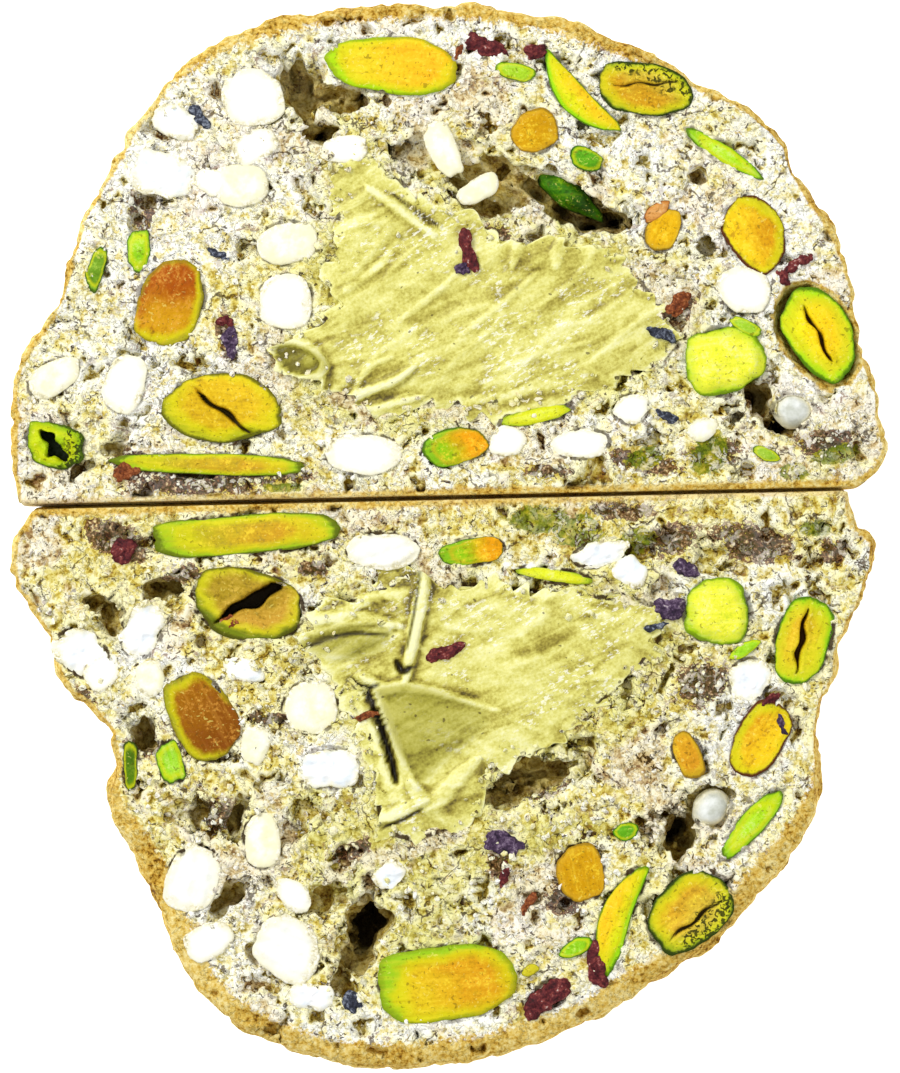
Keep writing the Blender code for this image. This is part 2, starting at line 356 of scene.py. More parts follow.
# The crumb's colours run from dark to light, with painted shade in its pits and painted light on its crests,
# and the sizes are those of the noise in them.
crumbPaint = {
    "fine": 0.38 * mm, "middle": 1.7 * mm, "patches": 8 * mm, "bend": 2.2 * mm, "facets": 0.9 * mm,
    "cells": 4.5 * mm,
    "white": (
        (0.05, "4a2e06"), (0.24, "a68a30"), (0.37, "d4c06a"), (0.48, "ecdfa0"), (0.6, "f8f2cc"),
        (0.76, "fffff4"),
    ),
    "khaki": (
        (0.05, "402a08"), (0.24, "8e6e18"), (0.37, "bca23c"), (0.48, "d6c35e"), (0.6, "e8dc88"),
        (0.76, "fbf4bc"),
    ),
    "oiled": ((0.08, "453a0a"), (0.3, "9a8b2e"), (0.5, "c8be5c"), (0.75, "e6e28a")),
    "rosy": ((0.1, "46261c"), (0.32, "9a7868"), (0.48, "d6bea4"), (0.68, "f8eee0")),
    "stain": ((0.44, "180a06"), (0.51, "4a2418"), (0.57, "8a5c3a"), (0.62, "e0cc94")),
    "green": ((0.38, "2a3a04"), (0.48, "667a06"), (0.56, "a09a12"), (0.66, "dccc48")),
    "flour": ((0.34, "cab868"), (0.42, "f0e6b4"), (0.5, "fdfae2"), (0.58, "fffffa")),
    # gap, hollow, crack, line, deep and seam below are painted shade: in gaps, hollows, cracks, beside the
    # pieces and in the seam
    "gap": ((0.4, "241404"), (0.6, "604818")),
    "hollow": ((0.38, "6a4410"), (0.46, "b09238"), (0.56, "d8c46c")),
    "crust": ((0.34, "5e3c0a"), (0.40, "9c701a"), (0.45, "c69c3a"), (0.52, "dcbc5c"), (0.64, "f0de98")),
    "purple": "8a6a62", "russet": "7d4818", "crack": "432c0e", "speck": "301408", "line": "3a260a",
    "deep": "160904", "seam": "1c1206",
}


def doughFinish():
    material, shader, wire, place = newFinish("bakedDough", Roughness=0.85, Specular_IOR_Level=0.12)
    paint = crumbPaint
    relief, skin, floury = wire.attribute("relief"), wire.attribute("fromSkin"), wire.attribute("floury")
    fine = wire.noise(place, paint["fine"], 3, 0.6)
    middle = wire.noise(place, paint["middle"], 4, 0.62)
    patches = wire.noise(place, paint["patches"], 3, 0.6)

    warp = wire.node("TexNoise", output=1, Vector=place, Scale=1 / (1.4 * mm), Detail=3.0)
    bend = {"operation": "MULTIPLY_ADD"}
    bent = wire.node("VectorMath", bend, _0=warp, _1=(paint["bend"],) * 3, _2=place)
    facets = wire.node("TexVoronoi", output=1, Vector=bent, Scale=1 / paint["facets"]) * 1.0
    # relief paints crests lighter and pits darker, painted light and painted shade, over the crumb's own
    # random tone
    tone = 0.605 + relief * 0.24 + (fine - 0.5) * 0.9 + (middle - 0.5) * 0.9
    tone = tone + (facets - 0.5) * 0.4 + floury * 0.1
    whiteness = (patches - 0.5) * 4.4 + (middle - 0.5) * 2.4 + floury
    crumb = wire.mixed(whiteness, wire.ramp(tone, *paint["khaki"]), wire.ramp(tone, *paint["white"]))
    fromCream = wire.attribute("creamed") + (middle - 0.5) * 9 + (patches - 0.5) * 12
    crumb = wire.mixed((1 - fromCream.between(-1.0, 6.0)) * 0.85, crumb, wire.ramp(tone, *paint["oiled"]))

    blush = wire.noise(place, 10 * mm, 4, 0.6, 0.4) + (fine - 0.5) * 0.1
    crumb = wire.mixed(blush.between(0.52, 0.6) * 0.55, crumb, wire.ramp(tone, *paint["rosy"]))
    purple = wire.noise(place, 3.4 * mm, 4, 0.65, 0.6).between(0.56, 0.64)
    purple = purple * wire.noise(place, 0.8 * mm, 2).between(0.42, 0.6)
    crumb = wire.mixed(purple * 0.4, crumb, paint["purple"])
    russet = wire.noise(place, 2.4 * mm, 3, 0.6, 1.2).between(0.6, 0.66) * fine.between(0.42, 0.58)
    crumb = wire.mixed(russet * 0.7, crumb, paint["russet"])
    stained = (wire.attribute("stain") + (middle - 0.5) * 3.0 + (fine - 0.5) * 1.6).between(0.5, 0.56)
    crumb = wire.mixed(stained * 0.9, crumb, wire.ramp(fine * 0.6 + middle * 0.4, *paint["stain"]))
    greened = (wire.attribute("green") + (middle - 0.5) * 2.2 + (fine - 0.5) * 0.8).between(0.42, 0.6)
    crumb = wire.mixed(greened * 0.85, crumb, wire.ramp(middle * 0.7 + fine * 0.3, *paint["green"]))

    # floury flakes, and painted shade in small dark gaps between them, where the crumb is broken up
    broken = wire.noise(place, 5 * mm, 3).between(0.40, 0.56)
    clump = wire.noise(place, 1.25 * mm, 4, 0.62, 0.6) + (facets - 0.5) * 0.12
    gaps = wire.noise(place, 1.15 * mm, 4, 0.62, 1.2)
    gap = (1 - gaps.between(0.38, 0.41)) * (broken * 0.75 + 0.25) * (1.1 - floury * 0.4)
    crumb = wire.mixed(gap * 0.9, crumb, wire.ramp(fine, *paint["gap"]))
    flaky = clump.between(0.53, 0.56) * (floury * 0.5 + 0.4) * (broken * 0.7 + 0.3)
    crumb = wire.mixed(flaky, crumb, wire.ramp(fine, *paint["flour"]))
    # painted shade along thin cracks in the crumb
    cells = wire.node("TexVoronoi", {"feature": "DISTANCE_TO_EDGE"}, Vector=bent, Scale=1 / paint["cells"])
    crack = (1 - cells.between(0.008, 0.03)) * wire.noise(place, 3.2 * mm, 2).between(0.54, 0.6)
    crumb = wire.mixed(crack * 0.8, crumb, paint["crack"])
    specks = wire.noise(place, 0.6 * mm, 2, 0.6, 0.8).between(0.635, 0.66)
    crumb = wire.mixed(specks * 0.85, crumb, paint["speck"])

    # painted shadow: a dark line here and there beside the pieces; then painted shade in the hollows
    beside = wire.attribute("beside") + (fine - 0.5) * 0.5
    line = beside.between(-0.42, -0.2) * (1 - beside.between(0.1, 0.3))
    line = line * wire.noise(place, 2.2 * mm, 2).between(0.44, 0.54)
    crumb = wire.mixed(line * (1.0 - floury * 0.6) * 0.9, crumb, paint["line"])
    # painted shade in the hollows, darker the further the crumb lies below the cut plane and near black in
    # the deepest
    sunk = wire.attribute("sunk")
    hollow = wire.ramp(middle * 0.6 + fine * 0.4, *paint["hollow"])
    crumb = wire.mixed(sunk.between(1.4, 3.2) * 0.85, crumb, hollow)
    crumb = wire.mixed(sunk.between(4.8, 8.6) * 0.92, crumb, paint["deep"])

    # the baked crust
    baked = wire.noise(place, 7 * mm, 4, 0.6)
    speck = wire.noise(place, 0.5 * mm, 3, 0.65)
    # relief adds a little painted light on the crust's crests
    crust = wire.ramp(baked * 0.4 + speck * 0.6 + relief * 0.03, *paint["crust"])
    depth = skin + ((fine - 0.5) * 2.2 + (middle - 0.5) * 2.2) * skin.between(0.05, 0.9)
    edge = 1 - (depth - wire.attribute("band")).between(-0.3, 0.3)
    colour = wire.mixed(edge, crumb, crust)
    # painted shade in the narrow gap between the halves, on each base just below the cut face
    colour = wire.mixed(wire.attribute("seam") * 0.9, colour, paint["seam"])
    bump = bumped(
        wire, fine + wire.noise(place, 0.18 * mm, 2) * 0.6 + clump.between(0.51, 0.56) * 1.0, 0.14 * mm,
    )
    plug(shader, wire, Base_Color=colour, Normal=bump, Roughness=0.95 - fine * 0.25)
    return material


creamPaint = {
    "spread": (
        (0.05, "564a10"), (0.24, "978a30"), (0.38, "b8ae4c"), (0.52, "d4ce6a"), (0.68, "e6e28c"),
        (0.9, "f4f2b8"),
    ),
    "flap": ((0.2, "6e6618"), (0.5, "9e982e"), (0.8, "bab44c")),
    # glint is a painted highlight and slit is painted shade
    "glint": "fffff0", "slit": "1e1608", "pit": "4a3c14",
}


def creamFinish():
    material, shader, wire, place = newFinish("pistachioCream", Specular_IOR_Level=0.32)
    drawn = wire.stretched(place, math.radians(-32), (5 * mm, 0.5 * mm, 1 * mm))
    streaks = wire.node("TexNoise", Vector=drawn, Scale=1.0, Detail=3.0)
    drawn = wire.stretched(place, math.radians(-25), (11 * mm, 2.4 * mm, 1 * mm))
    flow = wire.node("TexNoise", Vector=drawn, Scale=1.0, Detail=3.0, Distortion=1.3)
    drawn = wire.stretched(place, math.radians(-25), (0.8 * mm, 0.4 * mm, 1 * mm))
    glint = wire.node("TexNoise", Vector=drawn, Scale=1.0, Detail=3.0, Roughness=0.7)
    soft = wire.noise(place, 4 * mm, 3)
    dots = wire.noise(place, 0.32 * mm, 2)
    # relief paints the cream's ridges lighter and its dips darker, painted light and painted shade, over its
    # streaks and random tone
    tone = 0.52 + wire.attribute("relief") * 0.26 + (streaks - 0.5) * 0.2 + (flow - 0.5) * 1.0
    tone = tone + (soft - 0.5) * 0.6 + (dots - 0.5) * 0.5
    # painted highlights: glints mixed into the cream's base colour
    shiny = wire.noise(place, 6 * mm, 2).between(0.48, 0.58) * glint.between(0.54, 0.62)
    colour = wire.mixed(shiny * 0.65, wire.ramp(tone, *creamPaint["spread"]), creamPaint["glint"])
    colour = wire.mixed(wire.attribute("flap") * 0.9, colour, wire.ramp(tone, *creamPaint["flap"]))
    # painted shade in the slits
    colour = wire.mixed(wire.attribute("slit"), colour, creamPaint["slit"])
    pits = wire.noise(place, 0.8 * mm, 1).between(0.73, 0.77)
    colour = wire.mixed(pits * 0.7, colour, creamPaint["pit"])
    bump = bumped(wire, streaks * 0.5 + wire.noise(place, 0.3 * mm, 3) * 0.6, 0.13 * mm, 0.9)
    plug(shader, wire, Base_Color=colour, Normal=bump, Roughness=0.28 + dots * 0.25)
    return material


# What a kernel's look is unless its own says otherwise; "lean" turns the change from flesh to far.
kernelPaint = {
    # spark and dim are partly painted highlight and painted shade; cleft is painted shade in the slit
    "lean": (0, 0), "spark": "ffe23c", "dim": "a87a08", "under": "d2d40e", "outline": "3d4a08",
    "skin": 0.85, "rimWidth": 0.16, "rimLean": 0.0, "cleft": "35280a", "dusty": "f4e878",
    "dark": "5a4208", "speck": "222806",
}


def nutFinish(name, look):
    # a cut kernel: flesh that changes along it, a bright green edge and a dark skin line
    look = {**kernelPaint, **look}
    material, shader, wire, place = newFinish(name, Specular_IOR_Level=0.1)
    edge = wire.attribute("edge")
    along = wire.attribute("along")
    across = wire.attribute("across")
    patch = wire.noise(place, 4.5 * mm, 2, 0.5)
    soft = wire.noise(place, 1.5 * mm, 4, 0.62)
    fine = wire.noise(place, 0.32 * mm, 3, 0.65)
    turned = along * look["lean"][0] + across * look["lean"][1]
    flesh = wire.mixed(
        (turned + (patch - 0.5) * 1.6 + (soft - 0.5) * 0.8).between(-0.7, 0.7),
        look["flesh"], look.get("far", look["flesh"]),
    )
    # mottled lighter and darker: partly the flesh's own mottling, partly painted highlights and painted shade
    mottle = fine * 0.5 + soft * 0.5
    flesh = wire.mixed(mottle.between(0.50, 0.64) * 0.6, flesh, look["spark"])
    flesh = wire.mixed((1 - mottle).between(0.52, 0.64) * 0.55, flesh, look["dim"])
    rim = look["rimWidth"]
    worn = edge - 0.02 + (patch - 0.5) * 0.6 + (soft - 0.5) * 0.3 + turned * look["rimLean"]
    if "rimTo" in look:
        worn = worn + (along * look["rimTo"][0] + across * look["rimTo"][1]) * 0.22 - 0.06
    flesh = wire.mixed(worn.between(1 - 2.6 * rim, 1 - rim) * 0.7, flesh, look["under"])
    flesh = wire.mixed(worn.between(1 - 1.2 * rim, 1 - 0.1 * rim) * 0.95, flesh, look["rim"])
    drawn = wire.stretched(place, -look.get("turn", 0.0), (4 * mm, 0.45 * mm, 1 * mm))
    fibre = wire.node("TexNoise", Vector=drawn, Scale=1.0, Detail=3.0)
    flesh = wire.mixed(fibre.between(0.5, 0.7) * 0.2, flesh, look["spark"])
    flesh = wire.mixed((1 - fibre).between(0.54, 0.7) * 0.22, flesh, look["dim"])
    dust = wire.noise(place, 0.5 * mm, 2, 0.6, 0.6)
    flesh = wire.mixed(dust.between(0.64, 0.69) * 0.4, flesh, look["dusty"])
    flesh = wire.mixed((1 - dust).between(0.64, 0.68) * 0.5, flesh, look["dark"])
    if "speckle" in look:
        specked = (turned * look["speckle"] + (soft - 0.5) * 1.5).between(0.05, 0.4)
        specked = (1 - dust).between(0.5, 0.56) * specked
        flesh = wire.mixed(specked * 0.9, flesh, look["speck"])
    dark = edge + (fine - 0.5) * 0.10 + (patch - 0.5) * 0.26
    flesh = wire.mixed(dark.between(0.90, 0.98) * look["skin"], flesh, look["outline"])
    # painted shade in the slit's cleft
    flesh = wire.mixed(wire.attribute("slit").between(0.2, 0.9), flesh, look["cleft"])
    bump = bumped(wire, fine + soft * 0.6, 0.12 * mm, 0.9)
    plug(shader, wire, Base_Color=flesh, Normal=bump, Roughness=0.36 + fine * 0.2)
    return material


def chocolateFinish(name, look):
    material, shader, wire, place = newFinish(name, Specular_IOR_Level=0.3)
    edge = wire.attribute("edge")
    soft = wire.noise(place, 2.0 * mm, 4, 0.6)
    fine = wire.noise(place, 0.4 * mm, 3)
    body = wire.mixed(soft.between(0.35, 0.65), look["body"], look.get("far", "ffffff"))
    body = wire.mixed((edge + (soft - 0.5) * 0.9).between(0.55, 1.0) * 0.8, body, "ece6c0")
    dusty = wire.ramp(fine, (0.34, "6f5c30"), (0.46, "d8cf9e"), (0.6, "fbf9ee"))
    dusted = (edge + (soft - 0.5) * 1.4 + (fine - 0.5) * 0.9).between(0.86, 0.98)
    body = wire.mixed(dusted * look["crumbs"], body, dusty)
    bump = bumped(wire, fine * 0.7 + soft, 0.10 * mm, 0.6)
    plug(shader, wire, Base_Color=body, Normal=bump, Roughness=0.35 + fine * 0.25)
    return material


def flakeFinish(name, look):
    material, shader, wire, place = newFinish(name, Specular_IOR_Level=0.2)
    soft = wire.noise(place, 0.9 * mm, 4, 0.65, 0.8)
    fine = wire.noise(place, 0.3 * mm, 3)
    stops = (0.36, look["dark"]), (0.5, look["body"]), (0.6, look["light"]), (0.7, "efe6dc")
    colour = wire.ramp(soft * 0.6 + fine * 0.4, *stops)
    bump = bumped(wire, soft + fine * 0.5, 0.15 * mm)
    plug(shader, wire, Base_Color=colour, Normal=bump, Roughness=0.5 + fine * 0.3)
    return material


# The two halves of baked dough.
dough = {
    "voxel": 0.30 * mm,
    "quickVoxel": 0.55 * mm,
    "budget": 188000,  # triangles in one half
    "proud": 0.8 * mm,  # how far crumbs may stand above the cut plane
    "bedShare": 0.75,  # how far the crumb lies down under a piece set in it, as a share of its depth
    "lap": 0.2 * mm,  # how far the crumb reaches in over the edge of such a piece
    "wideLap": {"upper_pistachio_green_split": 0.8 * mm},  # the same round a piece smaller than its pocket
    "closeSeam": 0.34 * mm,  # how far the base stands out towards the other half at the cut face
    "closeBelow": 0.64 * mm,  # the same further down, where the halves touch
    "farthest": 12 * mm,  # distances to the baked outside are measured no further than this
    # the relief's colour change is painted light on crests and painted shade in pits
    "reliefUnit": 0.19 * mm,  # how far a crest stands out for its colour to change fully
    "floury": {"upper": 0.2, "lower": -0.1},  # how white the crumb is away from the floury places
    "thinBand": 0.45 * mm,  # baked edge that shows round the cut face
    "wideBand": {"upper": 1.7 * mm, "lower": 2.9 * mm},  # the same towards the crown
    "wideFrom": {"upper": 0.72, "lower": 0.42},  # share of the reach where it is wide
}

# How the surface swells, in order: name, kind of texture, size of its grains, its settings, then the
# height, the level that stays put and the part of the half it works on.
doughGrains = [
    ("Lumps", "CLOUDS", 7 * mm, {"noise_depth": 3}, 2.0 * mm, 0.5, "skin"),
    ("Blisters", "CLOUDS", 2.6 * mm, {"noise_depth": 3}, 0.6 * mm, 0.5, "skin"),
    ("Cracks", "VORONOI", 5 * mm, {"weight_1": -1.0, "weight_2": 1.0, "stops": ((0.02, 0.0), (0.12, 1.0))},
     0.30 * mm, 1.0, "skin"),
    ("Waves", "CLOUDS", 6 * mm, {"noise_depth": 2}, 0.9 * mm, 0.5, "cut"),
    ("Chunks", "CLOUDS", 2.6 * mm,
     {"noise_depth": 2, "noise_basis": "VORONOI_F2_F1", "stops": ((0.0, 0.0), (0.25, 1.0))},
     0.4 * mm, 0.8, "crumbly"),
    ("Crumbs", "CLOUDS", 1.5 * mm, {"noise_depth": 4}, 0.75 * mm, 0.5, "crumbly"),
    ("Grains", "CLOUDS", 0.9 * mm, {"noise_depth": 3}, 0.36 * mm, 0.5, "cut"),
    ("Pits", "CLOUDS", 3.0 * mm, {"noise_depth": 4, "stops": ((0.63, 0.0), (0.67, 1.0))},
     -1.4 * mm, 0.0, "cut"),
]

# Air holes and torn places: across and reach on the cut face, then length, width and depth in mm, and turn.
hollows = {
    "upper": [
        (13, 64.5, 13, 5.5, 3.4, -22), (27, 60.0, 9, 4.6, 8, -38), (-2, 69, 9, 5.5, 2.6, -20),
        (35, 56.5, 7, 2.6, 10, -5), (6, 61, 8, 2.6, 5, -30), (-34, 83, 5.0, 8.5, 6, 15),
        (-26, 80.5, 6.5, 3.6, 5, -10), (-29.5, 74, 4.2, 2.6, 7, 10), (70, 20.5, 3.0, 4.4, 7, 10),
        (75.5, 15, 4.4, 3.0, 7, -25), (65, 17, 2.4, 1.6, 3, 30), (56.5, 65, 2.2, 2.3, 5, 0),
        (57.5, 51.5, 2.8, 1.3, 3, -10), (-47.5, 51, 1.3, 2.2, 3, -20), (-69, 60.5, 2.6, 2.8, 2.2, 0),
        (-71, 56, 2.2, 3.0, 2, 20), (-76.5, 10.5, 3.4, 2.0, 3, 0), (35, 47, 4.4, 0.9, 2.5, -50),
        (-83, 7, 4, 1.4, 2.5, 20), (-60, 6, 5, 1.2, 2, -10), (31, 76, 1.8, 1.6, 2, 0),
        (46, 12, 5, 1.6, 1.8, 10),
    ],
    "lower": [
        (-17, 74.5, 4.6, 6.0, 10, -20), (-20, 79, 4.2, 5.0, 6, 10), (-27, 70, 6.5, 3.2, 3, 15),
        (-23, 85, 2.4, 5.0, 4, 20), (21, 48.5, 9.5, 3.6, 6, 12), (14, 52, 7.5, 3.2, 4, 10),
        (54.5, 59.5, 3.2, 5.6, 8, -8), (61, 53.5, 5.6, 4.6, 4, 20), (50.5, 55.5, 3.2, 1.6, 5, 10),
        (-14.5, 42, 1.6, 12, 5, 22), (-64.5, 16.5, 4.6, 2.8, 6, 5), (-77, 22.5, 2.2, 5.0, 5, 15),
        (-80.5, 19, 3.6, 1.8, 4, -20), (-56.5, 26, 1.8, 1.5, 3, 0), (-69, 42, 2.8, 4.6, 5, 0),
        (-48, 56.5, 2.0, 5.2, 5, -15), (-50, 70.5, 6.8, 2.6, 4, 42), (-43.5, 80, 1.6, 3.4, 3, 10),
        (-59, 55.5, 6.5, 2.8, 2.0, 8), (-86, 40, 3.0, 2.0, 3, 20), (51.5, 32, 0.9, 6.5, 2.5, -25),
        (56, 27, 4.5, 0.8, 1.6, 10), (45, 10, 4.5, 1.4, 1.8, -15), (64, 12, 6, 3.4, 1.6, -8),
        (-12, 12, 4.0, 2.2, 1.6, 0), (30, 62, 1.6, 1.6, 2, 0), (28, 71, 1.8, 1.2, 2.4, 40),
    ],
}

# Darker, dirtier crumb: across, reach, then length and width in mm, and turn.
stains = {
    "upper": [
        (-58, 4, 17, 3.4, 0), (-40, 5.5, 9, 3.0, 5), (44, 8, 9, 2.6, -12), (22, 6, 5, 1.8, 0),
        (52, 38, 4.5, 2.6, 30), (-51, 33, 2.4, 5, 10), (-70, 58, 3, 5.5, 15), (10, 53, 4, 3, 0),
        (60, 10, 6, 3.6, 0), (-72, 8, 5, 3, 0), (86, 12, 8, 3, 10), (-76, 22, 3.4, 3, 0),
        (37, 92, 3, 1.6, 30), (72, 78, 4, 1.6, -40), (-10, 57, 4, 1, 0),
    ],
    "lower": [
        (72, 8.5, 10, 4.5, -8), (52, 8, 7, 3.6, 10), (-76, 8, 8, 4, -25), (-60, 14, 5, 2, 10),
        (40, 3, 8, 2.2, 0), (-66, 44, 8, 2.4, -5), (-52, 56, 5, 4, 0), (20, 51, 8, 3, 10),
        (-40, 39, 6, 1.6, -5), (28, 70, 5, 4, 0), (-30, 13, 4, 2, 0), (60, 33, 7, 5, 20),
        (-22, 62, 6, 2, 20), (-84, 36, 3, 3, 0), (13, 64, 3, 3, 0), (90, 10, 4, 3, 0),
    ],
}

# Whiter, flourier crumb, in the same way.
flours = {
    "upper": [
        (-60, 66, 26, 22, 40), (-20, 90, 36, 8, 8), (45, 86, 34, 9, -30), (72, 55, 16, 26, 0),
        (-72, 26, 18, 18, 0), (86, 25, 12, 12, 0), (40, 70, 20, 8, -30),
    ],
    "lower": [
        (74, 50, 16, 26, 0), (10, 92, 40, 8, 0), (45, 84, 30, 10, 30), (-66, 36, 12, 14, 0),
        (-50, 78, 12, 18, -30), (66, 18, 16, 8, 0), (20, 78, 18, 8, 0), (-24, 46, 10, 8, 0),
    ],
}

# Crumb tinted by the cream outside its edge, in the same way.
oils = {
    "upper": [(-22, 62, 24, 10, -35), (-6, 58, 14, 7, -30), (48, 40, 10, 8, 0), (20, 60, 10, 5, -20)],
    "lower": [
        (-8, 64, 26, 16, 0), (0, 76, 18, 12, 0), (26, 60, 16, 8, 20), (-30, 56, 10, 8, 0),
        (16, 70, 12, 8, 0),
    ],
}


# Crumb tinged green by ground pistachio, in the same way.
greens = {
    "upper": [
        (59, 9.5, 5.4, 4.4, 60), (44.5, 9, 5, 2.6, 18), (88, 9.5, 6, 2.2, 12), (78, 6, 4, 2, 0),
        (-38, 3, 5, 1.2, 0),
    ],
    "lower": [(22, 4.5, 8, 3.4, -5), (31, 6.5, 6, 4.4, 10), (44, 8.5, 5, 3, 20), (86, 6, 4, 2, 0)],
}


def patchOf(table, side, places):
    # how far each place lies in one of a half's patches, 0 to 1
    found = np.zeros(len(places))
    for across, reach, length, width, turn in table[side]:
        away = places[:, :2] - spot(side, across, reach)
        cos, sin = math.cos(math.radians(turn)), math.sin(math.radians(turn))
        u = (away[:, 0] * cos + away[:, 1] * sin) / (length / 2 * mm)
        v = (away[:, 1] * cos - away[:, 0] * sin) / (width / 2 * mm)
        found = np.maximum(found, ease(1.4 - np.hypot(u, v)))
    return found


def skinOf(piece):
    # the faces of the baked outside and the base, found from the lowest face outwards up to the cut plane
    mesh = piece.data
    top = cutPlane - 0.02 * mm
    places = pointsOf(piece)
    owners = {}
    for face in mesh.polygons:
        for key in face.edge_keys:
            if min(places[key[0]][2], places[key[1]][2]) < top:
                owners.setdefault(key, []).append(face.index)
    neighbours = {}
    for pair in owners.values():
        for one in pair:
            neighbours.setdefault(one, []).extend(pair)
    start = min(mesh.polygons, key=lambda face: face.center.z).index
    found, waiting = {start}, [start]
    while waiting:
        for other in neighbours.get(waiting.pop(), []):
            if other not in found:
                found.add(other)
                waiting.append(other)
    return found


def closeCutFace(piece, skin):
    # keeps the skin and closes it with one flat face, so that the pockets are gone
    choose(piece)
    bpy.ops.object.mode_set(mode="EDIT")
    bpy.ops.mesh.select_mode(type="FACE")
    bpy.ops.mesh.select_all(action="DESELECT")
    bpy.ops.object.mode_set(mode="OBJECT")
    for face in piece.data.polygons:
        face.select = face.index not in skin
    bpy.ops.object.mode_set(mode="EDIT")
    bpy.ops.mesh.delete(type="FACE")
    bpy.ops.mesh.select_mode(type="EDGE")
    bpy.ops.mesh.select_all(action="DESELECT")
    bpy.ops.mesh.select_non_manifold()
    bpy.ops.mesh.edge_face_add()
    bpy.ops.mesh.select_all(action="SELECT")
    bpy.ops.mesh.normals_make_consistent(inside=False)
    bpy.ops.object.mode_set(mode="OBJECT")


def carve(piece, side):
    # each hollow is a lumpy ball, and all of a half's hollows are cut out in one go
    tools = bpy.data.collections.new(side + "Hollows")
    bpy.context.scene.collection.children.link(tools)
    for number, (across, reach, length, width, depth, turn) in enumerate(hollows[side]):
        x, y = spot(side, across, reach)
        deselectAll()
        bpy.ops.mesh.primitive_ico_sphere_add(subdivisions=4 if length > 5 else 3, radius=1)
        tool = bpy.context.active_object
        ball = pointsOf(tool)
        shift = Vector((number * 3.7, len(side), 0))
        rough = np.array([
            0.55 * noise.noise(Vector(p) * 1.7 + shift) + 0.42 * noise.noise(Vector(p) * 4.0 + shift)
            for p in ball
        ])
        ball *= 1 + rough[:, None]
        ball *= np.array([length / 2, width / 2, depth]) * mm
        cos, sin = math.cos(math.radians(turn)), math.sin(math.radians(turn))
        ball = ball @ np.array([[cos, sin, 0], [-sin, cos, 0], [0, 0, 1]])
        movePoints(tool, ball + np.array([x, y, cutPlane]))
        for home in list(tool.users_collection):
            home.objects.unlink(tool)
        tools.objects.link(tool)
    cut = piece.modifiers.new("hollows", "BOOLEAN")
    cut.operation = "DIFFERENCE"
    cut.solver = "EXACT"
    cut.operand_type = "COLLECTION"
    cut.collection = tools
    applyModifiers(piece)
    for tool in list(tools.objects):
        bpy.data.objects.remove(tool)
    bpy.data.collections.remove(tools)


def baseOf(piece, side):
    # a point and the outward direction of the flat base, which faces the other half
    out = -1 if side == "upper" else 1
    flat = [face for face in piece.data.polygons if face.normal.y * out > 0.97]
    whole = sum(face.area for face in flat)
    middle = sum((face.center * face.area for face in flat), Vector()) / whole
    direction = sum((face.normal * face.area for face in flat), Vector()).normalized()
    return np.array(middle), np.array(direction)


def skinDistance(tree, places):
    # distance to the baked outside
    found = np.full(len(places), dough["farthest"])
    for number, place in enumerate(places):
        hit = tree.find_nearest(place, dough["farthest"])
        if hit[3] is not None:
            found[number] = hit[3]
    return found


def piecesNear(side, places, deep):
    # each piece set in a half, the places round it and how far inside its edge they lie
    for node in nodes:
        if node.startswith(side) and not node.endswith("dough"):
            edge = edgeOf(node)
            low, high = edge.min(0) - mm, edge.max(0) + mm
            around = ((places[:, :2] > low) & (places[:, :2] < high)).all(1)
            near = np.flatnonzero(around & (places[:, 2] > cutPlane - deep))
            yield node, near, insideBy(places[near, :2], edge)


def bedDown(piece, side, weight):
    # the crumb lies lower under every nut, chocolate lump and the cream, so that their cut faces show
    places = pointsOf(piece)
    drop = np.zeros(len(places))
    for node, near, inside in piecesNear(side, places, 6 * mm):
        low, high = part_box(node)
        if node.endswith("cream"):
            fall = 1.8 * mm * ease((inside - 0.3 * mm) / (2.6 * mm))
        else:
            lap = dough["wideLap"].get(node, dough["lap"])
            fall = dough["bedShare"] * (high.z - low.z) * ease((inside - lap) / (0.6 * mm))
        drop[near] = np.maximum(drop[near], fall)
    places[:, 2] -= drop * weight
    movePoints(piece, places)


def besideOf(side, places):
    # how far inside the nearest piece's edge each place lies, in mm, and below zero outside it
    found = np.full(len(places), -9.0)
    for node, near, inside in piecesNear(side, places, 5 * mm):
        found[near] = np.maximum(found[near], inside / mm)
    return found


def bandOf(side, places):
    # how wide the baked edge shows at each place
    low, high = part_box(side + "_dough")
    reach = (places[:, 1] - low.y) / (high.y - low.y)
    if side == "lower":
        reach = 1 - reach
    share = ease((reach - dough["wideFrom"][side]) / 0.2)
    return dough["thinBand"] * ease(reach / 0.03) + (dough["wideBand"][side] - dough["thinBand"]) * share


